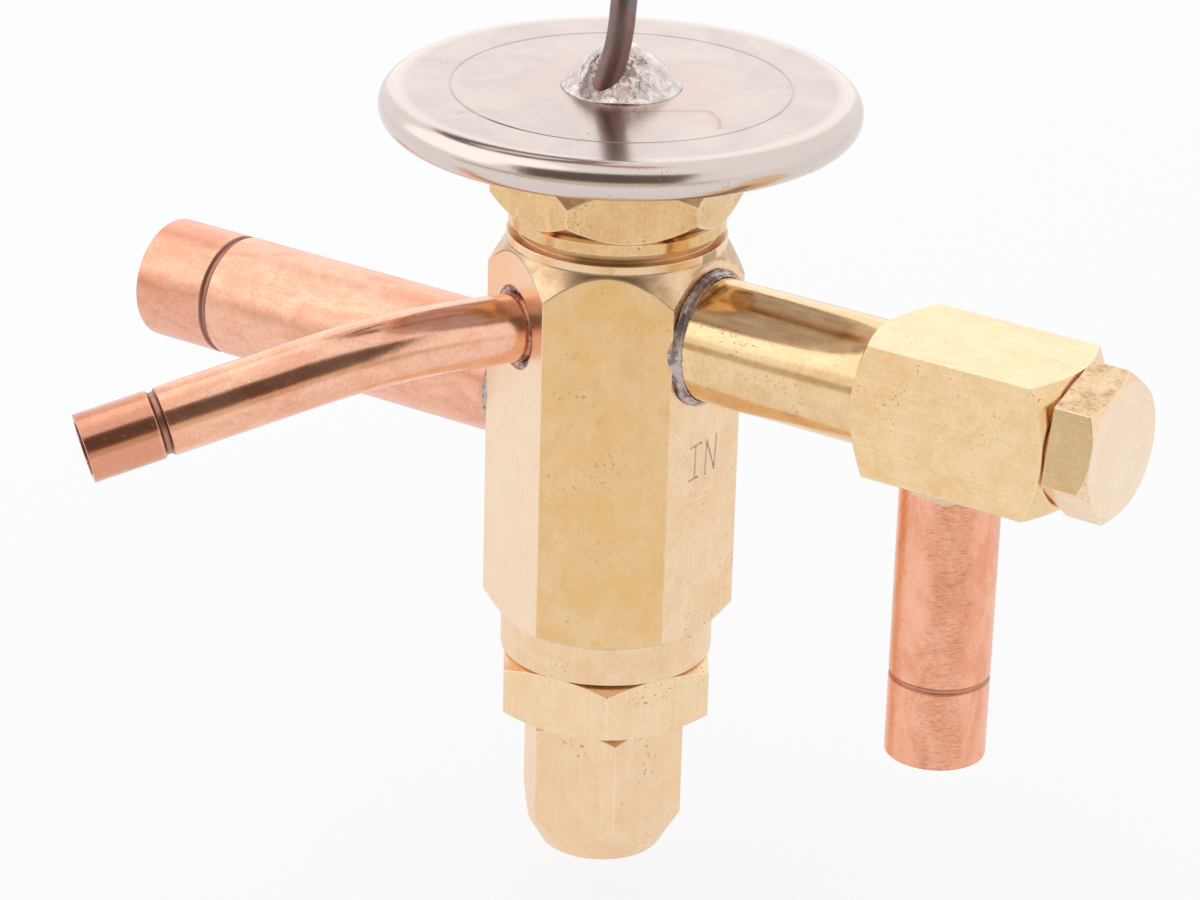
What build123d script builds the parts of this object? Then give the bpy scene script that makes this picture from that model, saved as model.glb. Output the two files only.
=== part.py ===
from build123d import *

import os
from math import atan2, cos, degrees, hypot, pi, radians, sin, sqrt, tan

# Thermostatic expansion valve, in millimetres. A hexagonal brass body carries the
# diaphragm case on top, the superheat spring and its adjusting stem below, an inlet arm
# with a strainer housing along +X, the outlet tube along -X and the equalizer tube to
# the front left. The origin is the centre of the inlet tube's mouth, with +Z up.

os.makedirs("parts", exist_ok=True)

# ---- Driving dimensions -------------------------------------------------------------

fit = 0.05                      # radial clearance of turned pieces that fit together
seat_gap = 0.05                 # clearance between faces that seat on each other

inlet_offset = 45.0             # body axis to inlet tube axis
inlet_drop = 42.0               # inlet arm axis down to the mouth of the inlet tube
outlet_reach = 65.2             # body axis to the mouth of the outlet tube
outlet_drop = 11.2              # inlet arm axis down to the outlet tube's axis

# Body, turned from hexagonal bar
body_flats = 25.4
body_bottom = -41.65            # all heights are measured from the inlet arm's axis
collar_r = 12.45                # round collar at the foot of the body
collar_h = 4.65
foot_chamfer = 30.0             # degrees from the horizontal
shoulder = 8.95                 # where the top cone leaves the middle of each flat
shoulder_cone = 30.0            # degrees from the axis
boss_h = 1.1268                 # round boss over the shoulder
boss_step = 1.2                 # from the groove's floor out to the boss
groove_step = 1.0               # from the neck out to the groove's floor
groove_h = 1.15
neck_r = 10.4                   # threaded neck that takes the diaphragm case
neck_h = 6.6
chamber_r = 8.0                 # outlet chamber round the pin carrier
chamber_play = 0.5              # round the pin carrier and the spring guide
chamber_top = -5.6
foot_thread_r = 10.0            # thread that takes the bottom nut
foot_thread_depth = 10.5
passage_r = 3.6                 # from the arm to the port
passage_end = -2.5
port_r = 1.7
brazed_depth = 2.8              # how far each tube stands in the body
stamp_w = 0.32                  # strokes of the letters stamped in the inlet's flat
stamp_depth = 0.15

# The strokes of the stamped IN, each from end to end as (across, height) on the flat
inlet_strokes = (
    ((-2.75, -12.85), (-0.55, -12.8)),
    ((-1.65, -12.85), (-1.75, -16.8)),
    ((-2.85, -16.85), (-1.15, -16.85)),
    ((0.65, -12.9), (0.45, -17.0)),
    ((0.65, -12.9), (2.35, -16.95)),
    ((2.65, -12.8), (2.35, -16.95)),
)

# Diaphragm case
hub_flats = 25.4
hub_turn = 10.8                 # how far the hub's flats are turned from the body's
hub_flange = 0.25               # how far the round flange stands inside the flats
hub_skirt = 3.47                # up to where the lower chamfer meets the corners
hub_crown = 2.0                 # down to where the upper chamfer meets them
hub_web = 1.1                   # over the end of the body's neck
hub_ledge = 1.4                 # how far the web reaches in over the neck
case_h = 8.1                    # from the hub to the top of the cover
sheet = 1.0                     # pressed steel of the case
case_foot = 0.5                 # how far the flat foot of the case passes the hub's flats
rim_r = 27.27                   # outside of the rolled rim
rim_section_r = 2.225           # radius of the rim's half round
rim_fold = 1.27                 # the rim's wall, in to what it clamps
lip_w = 1.8                     # how far the rim's lip turns in under the case
lip_t = 0.75
brim_w = 3.2                    # flat brim of the case, inside the rim
dome_w = 3.6                    # from the clamped edge in to the foot of the cover's dome
diaphragm_t = 0.3
diaphragm_rise = 0.9
wave_in = 5.4                   # from the clamped edge in to the wave's crest
wave_half = 2.0
flat_in = 10.8                  # and to the edge of the flat middle
charge_hole_r = 0.6
scribe_in = 5.8                 # from the middle of the rim's fold in to the scribed circle
scribe_w = 0.3
scribe_depth = 0.1

# Push rods, port and spring
stroke = 0.8                    # travel of the pin from shut to wide open
buffer_r = 14.5
buffer_t = 1.55
buffer_boss_rim = 0.2           # how far the boss passes the rods
buffer_boss_h = 2.8
rod_r = 1.2
rod_inset = 1.8                 # from the chamber's wall in to the rods' axes
seat_r = 3.4
seat_h = 2.75
seat_bore_r = 1.5
pin_r = 2.1
pin_cone = 30.0                 # degrees from the axis
pin_tip_r = 0.35
carrier_top = -8.6
carrier_plate = 3.0
carrier_skirt = 1.6
carrier_slots = 4
spring_r = 5.1                  # to the middle of the wire
spring_wire = 1.4
spring_turns = 6.0
guide_h = 2.9
guide_lift = 3.1                # over the bottom nut's spigot
guide_pilot = 1.0

# Adjusting stem, bottom nut and seal cap
stem_r = 2.5
stem_thread_r = 3.0
stem_reach = 11.5               # over the bottom nut's spigot
stem_collar_r = 4.4
stem_collar_h = 1.5
stem_out = 13.05                # below the bottom nut
stem_square = 3.6
stem_square_h = 3.6
nut_flats = 24.0
nut_turn = 5.2
nut_gap = 0.2                   # a thin gasket under the body's collar
nut_h = 7.1
nut_spigot_h = 8.85
nut_chamfer_top = 0.75
nut_chamfer_bottom = 0.95
cap_thread_r = 7.0
cap_thread_h = 8.6
thread_depth = 0.35             # from the crest of an outside thread down to its core
gland_r = 4.3
packing_h = 2.6
gland_h = 3.2
gland_head_r = 5.4
gland_head_h = 1.9
cap_flats = 17.5
cap_turn = 12.4
cap_gap = 1.15                  # its gasket's room under the bottom nut
cap_h = 17.2
cap_top_chamfer = 0.8
cap_cone_h = 4.9                # up to where the end cone cuts the corners
cap_cone = 30.0                 # degrees from the axis
cap_pocket_r = 6.2
cap_end_wall = 2.6
gasket_r = 8.3

# Inlet arm and strainer
arm_r = 7.18
arm_bore_r = 4.8
arm_socket = 2.75               # how far the arm stands in the strainer's housing
block_wall = 0.52               # the housing's wall over the middle of the arm's socket
block_before = 8.9              # from the inlet tube's axis back to the housing's end
block_after = 14.85             # and on to the strainer cap
block_chamfer = 30.0            # degrees from the end face
block_bore_r = 5.9
thread_step = 0.5               # from the housing's bore out to the cap's thread
block_thread_depth = 6.4
hex_flats = 15.0
hex_turn = 18.25
hex_h = 5.2
hex_chamfer = 0.9
plug_depth = 6.0
ring_t = 0.3                    # strainer gasket
ring_outer_r = 7.3
screen_r = 4.7
screen_wall = 0.3
screen_ring = 1.4
screen_clip_r = 3.6

# Copper connections: bore and wall, with a rolled groove that stops the pipe
inlet_bore_r, inlet_wall, inlet_socket = 4.80, 0.91, 8.9
outlet_bore_r, outlet_wall, outlet_socket = 6.40, 0.90, 9.4
equal_bore_r, equal_wall, equal_socket = 3.20, 0.77, 8.1
roll_w = 1.5                    # width of a rolled groove
roll_depth = 0.45
equal_azimuth = -120.0          # the flat that the equalizer tube leaves
equal_straight = 16.0           # from the flat to the middle of the bend
equal_end_run = 35.3
equal_end_azimuth = -129.0
equal_end_droop = 14.7
equal_bend_r = 60.0
equal_recess_r = 4.9
equal_recess_depth = 2.2
equal_seat = 9.2                # from the body's axis to the tube's inner end
equal_way_r = 1.3               # drilled way up to the underside of the diaphragm
equal_way_inset = 2.8           # from the neck's outside in to that way

# Brazing
braze_w = 1.1                   # how far a fillet runs out over the face
braze_h = 1.3                   # and along the tube

# Capillary, coil and bulb
capillary_r = 1.5
mound_r = 8.0
mound_edge = 0.9                # height of the mound's flared foot
mound_shoulder_r = 6.7
mound_h = 5.2
mound_tip_r = 1.3
coil_r = 17.0                   # to the middle of the tube
coil_turns = 5.875
coil_pitch = 3.05
coil_play = 0.1                 # how far the coil's turns stray sideways
tie_w = 3.0
tie_t = 0.6
tie_at = 30.0                   # degrees round the coil, clear of the riser and the bulb
bulb_r = 6.35
bulb_length = 60.0
bulb_neck_r = 2.4
bulb_neck = 4.0

# The capillary's route, in runs of (length, heading, rise): the first leaves the mound and
# the last enters the bulb, and the coil lies between the two.
capillary_foot = (0.27, -4.38)
riser_runs = (
    (9.14, 80.2, 74.3),
    (9.0, 95.0, 54.0),
    (10.2, 125.0, 38.0),
    (10.2, 160.0, 22.0),
    (10.2, 190.0, 10.0),
)
tail_runs = (
    (10.0, 145.0, 3.0),
    (10.0, 148.0, 6.0),
    (10.5, 153.0, 8.0),
    (10.5, 168.0, 9.0),
    (11.0, 203.0, 9.0),
    (11.0, 238.0, 6.0),
    (11.0, 273.0, 3.5),
    (11.0, 308.0, 0.0),
    (11.0, 340.0, 0.0),
    (8.0, 358.0, 0.0),
)

# ---- The frame ----------------------------------------------------------------------

centre = Vector(-inlet_offset, 0, inlet_drop)
body_axis = Axis(centre, (0, 0, 1))
arm_axis = Axis(centre, (1, 0, 0))
turned = Plane(origin=centre, x_dir=(1, 0, 0), z_dir=(0, -1, 0))


def level(height):
    """A horizontal plane, by its height over the inlet arm's axis."""
    return Plane(centre + Vector(0, 0, height))


def station(reach):
    """A plane square to the inlet arm, by its distance from the body's axis."""
    return Plane(origin=centre + Vector(reach, 0, 0), x_dir=(0, 1, 0), z_dir=(1, 0, 0))


def place(x, y, z):
    """A point given from the crossing of the body's axis and the arm's."""
    return centre + Vector(x, y, z)


def corner_r(flats):
    """The corner radius of a hexagon, from the distance between its flats."""
    return flats / sqrt(3)


def hexagon(flats, turn):
    """A hexagon whose flats are turned by so many degrees, in the sketch."""
    RegularPolygon(flats / 2, 6, major_radius=False, rotation=30 + turn)


def turn(*outline, axis=body_axis, mode=Mode.ADD):
    """Turn an outline of (radius, height) points, or (reach, radius) ones about the arm."""
    with BuildSketch(turned) as profile:
        with BuildLine():
            Polyline(*outline, close=True)
        make_face()
    revolve(profile.sketch, axis=axis, mode=mode)


def drill(mouth, radius, depth, mode=Mode.SUBTRACT):
    """Drill a round hole of that depth along the normal of the plane at its mouth."""
    with BuildSketch(mouth) as profile:
        Circle(radius)
    extrude(profile.sketch, amount=depth, mode=mode)


def tube_section(mouth, inward, along, bore_r, wall):
    """Turn a straight tube from its mouth, with the rolled groove that stops a pipe."""
    length, stop = along
    outer_r = bore_r + wall
    near, far = stop, stop + roll_w
    slope = roll_w / 4
    side = Plane(origin=mouth, x_dir=inward, z_dir=square_to(inward))
    with BuildSketch(side) as profile:
        with BuildLine():
            Polyline(
                (0, bore_r),
                (near, bore_r),
                (near + slope, bore_r - roll_depth),
                (far - slope, bore_r - roll_depth),
                (far, bore_r),
                (length, bore_r),
                (length, outer_r),
                (far, outer_r),
                (far - slope, outer_r - roll_depth),
                (near + slope, outer_r - roll_depth),
                (near, outer_r),
                (0, outer_r),
                close=True,
            )
        make_face()
    revolve(profile.sketch, axis=Axis(mouth, inward))


def square_to(direction):
    """A direction square to the given one and as near to level as it can be."""
    level_side = Vector(0, 0, 1).cross(direction)
    return level_side if level_side.length > 1e-6 else Vector(0, -1, 0)


def follow(start, runs):
    """The points of a route, from runs of (length, heading, rise) with angles in degrees."""
    points = [start]
    for length, heading, rise in runs:
        run = Vector(length * cos(radians(rise)), 0, length * sin(radians(rise)))
        points.append(points[-1] + run.rotate(Axis.Z, heading))
    return points


def bend_radii(points):
    """The widest bend that two runs leave room for, at each inner point of a route."""
    radii = []
    for before, corner, after in zip(points, points[1:], points[2:]):
        shorter = min((corner - before).length, (after - corner).length)
        half_turn = radians((corner - before).get_angle(after - corner)) / 2
        radii.append(0.45 * shorter / tan(half_turn))
    return radii


def save(piece, name):
    """Label a finished piece and write it as its own file."""
    piece.part.label = name
    export_step(piece.part, f"parts/{name}.step")


# ---- Body ---------------------------------------------------------------------------

inlet_r = inlet_bore_r + inlet_wall
outlet_r = outlet_bore_r + outlet_wall
equal_r = equal_bore_r + equal_wall
body_corner = corner_r(body_flats)
flat = body_flats / 2
groove_r = neck_r + groove_step
boss_r = groove_r + boss_step
shoulder_corner = shoulder - (body_corner - flat) / tan(radians(shoulder_cone))
shoulder_top = shoulder + (flat - boss_r) / tan(radians(shoulder_cone))
collar_top = body_bottom + collar_h
foot_corner = collar_top + (body_corner - collar_r) * tan(radians(foot_chamfer))
boss_top = shoulder_top + boss_h
groove_top = boss_top + groove_h
neck_top = groove_top + neck_h
rod_circle_r = chamber_r - rod_inset
equal_way_at = neck_r - equal_way_inset
equal_out = Vector(cos(radians(equal_azimuth)), sin(radians(equal_azimuth)), 0)
seat_top = chamber_top + 1.2
outlet_inner = -(flat - brazed_depth)
arm_inner = flat - brazed_depth

with BuildPart() as valve_body:
    with BuildSketch(level(body_bottom)):
        hexagon(body_flats, 0)
    extrude(amount=neck_top - body_bottom)
    turn(
        (0, body_bottom),
        (collar_r, body_bottom),
        (collar_r, collar_top),
        (body_corner, foot_corner),
        (body_corner, shoulder_corner),
        (boss_r, shoulder_top),
        (boss_r, boss_top),
        (groove_r, boss_top),
        (groove_r, groove_top),
        (neck_r, groove_top),
        (neck_r, neck_top),
        (0, neck_top),
        mode=Mode.INTERSECT,
    )
    # The bottom nut's thread, the outlet chamber, the seat's recess and the port
    turn(
        (0, body_bottom),
        (foot_thread_r + fit, body_bottom),
        (foot_thread_r + fit, body_bottom + foot_thread_depth),
        (chamber_r, body_bottom + foot_thread_depth),
        (chamber_r, chamber_top),
        (seat_r + fit, chamber_top),
        (seat_r + fit, seat_top),
        (port_r, seat_top),
        (port_r, 0),
        (0, 0),
        mode=Mode.SUBTRACT,
    )
    # Inlet: the arm's socket, and the passage to the port
    drill(station(arm_inner), arm_r + fit, brazed_depth)
    drill(station(passage_end), passage_r, arm_inner - passage_end)
    # Outlet: the tube's socket, and the way into the chamber
    outlet_bore = Plane(place(outlet_inner, 0, -outlet_drop), z_dir=(-1, 0, 0))
    drill(outlet_bore, outlet_r + fit, brazed_depth)
    drill(outlet_bore, outlet_bore_r, -(abs(outlet_inner) - chamber_r + 1))
    # Equalizer: the brazing recess, the tube's socket and the way up past the push rods
    equal_bore = Plane(centre + equal_out * flat, z_dir=equal_out)
    drill(equal_bore, equal_recess_r, -equal_recess_depth)
    drill(equal_bore, equal_r + fit, -(flat - equal_seat))
    drill(equal_bore, equal_way_r, -(flat - equal_way_at))
    drill(Plane(centre + equal_out * equal_way_at), equal_way_r, neck_top)
    # Push rod holes
    with BuildSketch(level(chamber_top)):
        with PolarLocations(rod_circle_r, 2, start_angle=90):
            Circle(rod_r + fit)
    extrude(amount=neck_top - chamber_top, mode=Mode.SUBTRACT)
    # The letters that mark the inlet
    with BuildSketch(station(flat)):
        for start, end in inlet_strokes:
            across, up = end[0] - start[0], end[1] - start[1]
            middle = ((start[0] + end[0]) / 2, (start[1] + end[1]) / 2)
            with Locations(middle):
                SlotCenterToCenter(hypot(across, up), stamp_w, rotation=degrees(atan2(up, across)))
    extrude(amount=-stamp_depth, mode=Mode.SUBTRACT)
save(valve_body, "valve_body")

# ---- Diaphragm case -----------------------------------------------------------------

hub_corner = corner_r(hub_flats)
hub_bottom = groove_top + seat_gap
hub_flange_r = hub_flats / 2 - hub_flange
hub_corner_low = hub_bottom + hub_skirt
hub_top = neck_top + hub_web
hub_corner_high = hub_top - hub_crown
hub_opening_r = neck_r - hub_ledge
cover_top = hub_top + case_h
case_foot_r = hub_flats / 2 + case_foot
clamp_r = rim_r - rim_fold
lip_r = clamp_r - lip_w
case_brim_r = clamp_r - brim_w
dome_r = clamp_r - dome_w
wave_r = clamp_r - wave_in
flat_r = clamp_r - flat_in
scribe_r = rim_r - rim_section_r - scribe_in
rim_middle = cover_top - rim_section_r
rim_centre_r = rim_r - rim_section_r
rim_bottom = cover_top - 2 * rim_section_r
lip_top = rim_bottom + lip_t
brim_top = lip_top + sheet
diaphragm_top = brim_top + diaphragm_t

with BuildPart() as element_hub:
    with BuildSketch(level(hub_bottom)):
        hexagon(hub_flats, hub_turn)
    extrude(amount=hub_top - hub_bottom)
    turn(
        (0, hub_bottom),
        (hub_flange_r, hub_bottom),
        (hub_flange_r, hub_corner_low - (hub_corner - hub_flange_r)),
        (hub_corner, hub_corner_low),
        (hub_corner, hub_corner_high),
        (hub_corner - (hub_top - hub_corner_high), hub_top),
        (0, hub_top),
        mode=Mode.INTERSECT,
    )
    turn(
        (0, hub_bottom),
        (neck_r + fit, hub_bottom),
        (neck_r + fit, neck_top + seat_gap),
        (hub_opening_r, neck_top + seat_gap),
        (hub_opening_r, hub_top),
        (0, hub_top),
        mode=Mode.SUBTRACT,
    )
save(element_hub, "element_hub")

with BuildPart() as element_case:
    turn(
        (hub_opening_r, hub_top),
        (case_foot_r, hub_top),
        (case_brim_r, lip_top),
        (clamp_r - fit, lip_top),
        (clamp_r - fit, brim_top),
        (case_brim_r - sheet / 4, brim_top),
        (case_foot_r - sheet / 4, hub_top + sheet),
        (hub_opening_r, hub_top + sheet),
    )
save(element_case, "element_case")

with BuildPart() as diaphragm:
    lower = (
        (0, brim_top + diaphragm_rise),
        (flat_r, brim_top + diaphragm_rise),
        (wave_r - wave_half, brim_top),
        (wave_r, brim_top + diaphragm_rise / 2),
        (wave_r + wave_half, brim_top),
        (clamp_r - fit, brim_top),
    )
    upper = [(r, z + diaphragm_t) for r, z in reversed(lower)]
    turn(*lower, *upper)
save(diaphragm, "diaphragm")

foot = place(*capillary_foot, cover_top)
riser = follow(foot, riser_runs)

with BuildPart() as element_cover:
    with BuildSketch(turned):
        with BuildLine():
            Polyline(
                (0, cover_top),
                (scribe_r - scribe_w / 2, cover_top),
                (scribe_r, cover_top - scribe_depth),
                (scribe_r + scribe_w / 2, cover_top),
                (rim_centre_r, cover_top),
            )
            ThreePointArc((rim_centre_r, cover_top), (rim_r, rim_middle), (rim_centre_r, rim_bottom))
            Polyline(
                (rim_centre_r, rim_bottom),
                (lip_r, rim_bottom),
                (lip_r, lip_top),
                (clamp_r, lip_top),
                (clamp_r, diaphragm_top),
                (dome_r + sheet, diaphragm_top),
                (dome_r, cover_top - sheet),
                (0, cover_top - sheet),
                (0, cover_top),
            )
        make_face()
    revolve(axis=body_axis)
    drill(Plane(foot), charge_hole_r, -sheet)
save(element_cover, "element_cover")

with BuildPart() as solder_mound:
    with BuildSketch(turned):
        with BuildLine():
            Line((0, cover_top), (mound_r, cover_top))
            RadiusArc((mound_r, cover_top), (mound_shoulder_r, cover_top + mound_edge), -2)
            Polyline(
                (mound_shoulder_r, cover_top + mound_edge),
                (mound_tip_r, cover_top + mound_h),
                (0, cover_top + mound_h),
                (0, cover_top),
            )
        make_face()
    revolve(axis=body_axis)
    drill(Plane(foot, z_dir=riser[1] - foot), capillary_r + fit, 2 * mound_h)
save(solder_mound, "solder_mound")

# ---- Push rods, port, pin and spring ------------------------------------------------

buffer_top = brim_top + diaphragm_rise - seat_gap
buffer_boss_r = rod_circle_r + rod_r + buffer_boss_rim
boss_bottom = buffer_top - buffer_t - buffer_boss_h
seat_bottom = seat_top - seat_gap - seat_h
pin_gap = 0.03
throat = seat_bottom + 0.6
pin_tip = throat + (seat_bore_r - pin_gap - pin_tip_r) / tan(radians(pin_cone))
pin_shank_top = throat - (pin_r - seat_bore_r + pin_gap) / tan(radians(pin_cone))
carrier_r = chamber_r - chamber_play
carrier_bottom = carrier_top - carrier_plate
spigot_top = body_bottom - nut_gap + nut_spigot_h
guide_r = chamber_r - chamber_play
guide_top = spigot_top + guide_lift + guide_h
spring_top = carrier_bottom - seat_gap
spring_bottom = guide_top + seat_gap

with BuildPart() as buffer_plate:
    turn(
        (0, boss_bottom),
        (buffer_boss_r, boss_bottom),
        (buffer_boss_r, buffer_top - buffer_t),
        (buffer_r, buffer_top - buffer_t),
        (buffer_r, buffer_top - 0.4),
        (buffer_r - 0.4, buffer_top),
        (0, buffer_top),
    )
save(buffer_plate, "buffer_plate")

with BuildPart() as push_rods:
    with BuildSketch(level(carrier_top + seat_gap)):
        with PolarLocations(rod_circle_r, 2, start_angle=90):
            Circle(rod_r)
    extrude(amount=boss_bottom - carrier_top - 2 * seat_gap)
save(push_rods, "push_rods")

with BuildPart() as valve_seat:
    turn(
        (seat_bore_r, seat_top - seat_gap),
        (seat_r, seat_top - seat_gap),
        (seat_r, seat_bottom),
        (seat_bore_r + (throat - seat_bottom), seat_bottom),
        (seat_bore_r, throat),
    )
save(valve_seat, "valve_seat")

with BuildPart() as valve_pin:
    turn(
        (0, carrier_bottom + carrier_plate / 3),
        (pin_r, carrier_bottom + carrier_plate / 3),
        (pin_r, pin_shank_top),
        (pin_tip_r, pin_tip),
        (0, pin_tip),
    )
save(valve_pin, "valve_pin")

with BuildPart() as pin_carrier:
    turn(
        (0, carrier_bottom),
        (spring_r + spring_wire, carrier_bottom),
        (spring_r + spring_wire, carrier_bottom - carrier_skirt),
        (carrier_r, carrier_bottom - carrier_skirt),
        (carrier_r, carrier_top),
        (0, carrier_top),
    )
    drill(level(carrier_bottom + carrier_plate / 3), pin_r + fit, carrier_plate)
    # Slots that let the refrigerant past, between the push rods
    with BuildSketch(level(carrier_bottom)):
        with PolarLocations(carrier_r, carrier_slots, start_angle=45):
            SlotOverall(3.6, 2.0)
    extrude(amount=carrier_plate, mode=Mode.SUBTRACT)
save(pin_carrier, "pin_carrier")

with BuildPart() as superheat_spring:
    pitch = (spring_top - spring_bottom) / (spring_turns - 1)
    wire_start = spring_bottom - pitch / 2
    with BuildLine():
        coil = Helix(
            pitch=pitch,
            height=pitch * spring_turns,
            radius=spring_r,
            center=place(0, 0, wire_start),
        )
    with BuildSketch(Plane(coil @ 0, z_dir=coil % 0)):
        Circle(spring_wire / 2)
    sweep(path=coil)
    # Both ends are ground flat
    with BuildSketch(level(spring_bottom)):
        Circle(spring_r + spring_wire)
    extrude(amount=spring_top - spring_bottom, mode=Mode.INTERSECT)
save(superheat_spring, "superheat_spring")

with BuildPart() as spring_guide:
    turn(
        (stem_thread_r + fit, guide_top - guide_h),
        (guide_r, guide_top - guide_h),
        (guide_r, guide_top),
        (spring_r - spring_wire, guide_top),
        (spring_r - spring_wire, guide_top + guide_pilot),
        (stem_thread_r + fit, guide_top + guide_pilot),
    )
save(spring_guide, "spring_guide")

# ---- Adjusting stem, bottom nut and seal cap ----------------------------------------

nut_corner = corner_r(nut_flats)
nut_top = body_bottom - nut_gap
nut_bottom = nut_top - nut_h
cap_corner = corner_r(cap_flats)
cap_top = nut_bottom - cap_gap
cap_bottom = cap_top - cap_h
cap_cone_corner = cap_bottom + cap_cone_h
collar_seat = spigot_top + seat_gap
stem_thread_top = spigot_top + stem_reach
stem_end = nut_bottom - stem_out
neck_bottom = nut_bottom - cap_thread_h
packing_top = neck_bottom + packing_h + gland_h
gland_top = packing_top - packing_h - seat_gap
gland_bottom = neck_bottom - gland_head_h
square_top = stem_end + stem_square_h
cap_tip_r = cap_corner - (cap_cone_corner - cap_bottom) * tan(radians(cap_cone))
ring_r = cap_thread_r + 2 * fit
cap_core_r = cap_thread_r - thread_depth

with BuildPart() as adjusting_stem:
    turn(
        (0, square_top),
        (stem_r, square_top),
        (stem_r, collar_seat),
        (stem_collar_r, collar_seat),
        (stem_collar_r, collar_seat + stem_collar_h),
        (stem_thread_r, collar_seat + stem_collar_h),
        (stem_thread_r, stem_thread_top - 0.6),
        (stem_thread_r - 0.6, stem_thread_top),
        (0, stem_thread_top),
    )
    # The square that a service wrench turns
    with BuildSketch(level(stem_end)):
        Rectangle(stem_square, stem_square)
    extrude(amount=stem_square_h)
save(adjusting_stem, "adjusting_stem")

with BuildPart() as bottom_gasket:
    turn(
        (foot_thread_r + 2 * fit, nut_top),
        (nut_flats / 2 - 0.3, nut_top),
        (nut_flats / 2 - 0.3, body_bottom),
        (foot_thread_r + 2 * fit, body_bottom),
    )
save(bottom_gasket, "bottom_gasket")

with BuildPart() as bottom_nut:
    with BuildSketch(level(nut_bottom)):
        hexagon(nut_flats, nut_turn - 30)
    extrude(amount=nut_top - nut_bottom)
    turn(
        (0, nut_bottom),
        (nut_flats / 2, nut_bottom),
        (nut_corner, nut_bottom + nut_chamfer_bottom),
        (nut_corner, nut_top - nut_chamfer_top),
        (nut_flats / 2, nut_top),
        (0, nut_top),
        mode=Mode.INTERSECT,
    )
    # The spigot that screws into the body, and the neck that takes the seal cap
    turn((0, nut_top), (foot_thread_r, nut_top), (foot_thread_r, spigot_top), (0, spigot_top))
    turn(
        (0, neck_bottom),
        (cap_core_r - thread_depth, neck_bottom),
        (cap_core_r, neck_bottom + thread_depth),
        (cap_core_r, nut_bottom),
        (0, nut_bottom),
    )
    # The stem's bore, and the packing box
    drill(level(neck_bottom), stem_r + fit, spigot_top - neck_bottom)
    drill(level(neck_bottom), gland_r + fit, packing_top - neck_bottom)
save(bottom_nut, "bottom_nut")

with BuildPart() as stem_packing:
    turn(
        (stem_r + fit, packing_top - packing_h),
        (gland_r, packing_top - packing_h),
        (gland_r, packing_top),
        (stem_r + fit, packing_top),
    )
save(stem_packing, "stem_packing")

with BuildPart() as packing_gland:
    with BuildSketch(level(gland_bottom)):
        hexagon(2 * gland_head_r * cos(radians(30)), 0)
    extrude(amount=gland_head_h - seat_gap)
    drill(level(gland_bottom), gland_r, gland_top - gland_bottom, mode=Mode.ADD)
    drill(level(gland_bottom), stem_r + fit, gland_top - gland_bottom)
save(packing_gland, "packing_gland")

with BuildPart() as seal_cap_gasket:
    turn(
        (ring_r, cap_top + seat_gap),
        (gasket_r, cap_top + seat_gap),
        (gasket_r, nut_bottom - seat_gap),
        (ring_r, nut_bottom - seat_gap),
    )
save(seal_cap_gasket, "seal_cap_gasket")

with BuildPart() as seal_cap:
    with BuildSketch(level(cap_bottom)):
        hexagon(cap_flats, cap_turn - 30)
    extrude(amount=cap_top - cap_bottom)
    turn(
        (0, cap_bottom),
        (cap_tip_r, cap_bottom),
        (cap_corner, cap_cone_corner),
        (cap_corner, cap_top - cap_top_chamfer),
        (cap_flats / 2, cap_top),
        (0, cap_top),
        mode=Mode.INTERSECT,
    )
    turn(
        (0, cap_top),
        (cap_thread_r + fit, cap_top),
        (cap_thread_r + fit, neck_bottom - 0.4),
        (cap_pocket_r, neck_bottom - 0.4),
        (cap_pocket_r, cap_bottom + cap_end_wall),
        (0, cap_bottom + cap_end_wall),
        mode=Mode.SUBTRACT,
    )
save(seal_cap, "seal_cap")

# ---- Inlet arm and strainer ---------------------------------------------------------

block = 2 * (arm_r + fit + block_wall)
half = block / 2
block_corner = half * sqrt(2)
block_start = inlet_offset - block_before
block_end = inlet_offset + block_after
block_thread_r = block_bore_r + thread_step
arm_end = block_start + arm_socket
chamfer_run = (block_corner - half) * tan(radians(block_chamfer))
stub_top = -(half - 1.7)
thread_end = block_end - block_thread_depth
hex_start = block_end + ring_t + 2 * seat_gap
hex_end = hex_start + hex_h
hex_corner = corner_r(hex_flats)
plug_end = block_end - plug_depth
plug_core_r = block_thread_r - thread_depth

with BuildPart() as inlet_arm:
    drill(station(arm_inner + seat_gap), arm_r, arm_end - arm_inner - seat_gap, mode=Mode.ADD)
    drill(station(arm_inner + seat_gap), arm_bore_r, arm_end - arm_inner)
save(inlet_arm, "inlet_arm")

with BuildPart() as strainer_housing:
    with BuildSketch(station(block_start)):
        Rectangle(block, block)
    extrude(amount=block_end - block_start)
    turn(
        (block_start, 0),
        (block_start, half),
        (block_start + chamfer_run, block_corner),
        (block_end - chamfer_run, block_corner),
        (block_end, half),
        (block_end, 0),
        axis=arm_axis,
        mode=Mode.INTERSECT,
    )
    drill(station(block_start), arm_r + fit, arm_end + seat_gap - block_start)
    drill(station(block_start), block_bore_r, block_end - block_start)
    drill(station(thread_end), block_thread_r + fit, block_thread_depth)
    # The inlet tube's socket, and its way into the bore
    stub_bore = Plane(place(inlet_offset, 0, -half), z_dir=(0, 0, 1))
    drill(stub_bore, inlet_r + fit, half + stub_top)
    drill(stub_bore, inlet_bore_r, half)
save(strainer_housing, "strainer_housing")

with BuildPart() as strainer_gasket:
    drill(station(block_end + seat_gap), ring_outer_r, ring_t, mode=Mode.ADD)
    drill(station(block_end + seat_gap), block_thread_r + 2 * fit, ring_t)
save(strainer_gasket, "strainer_gasket")

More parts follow.
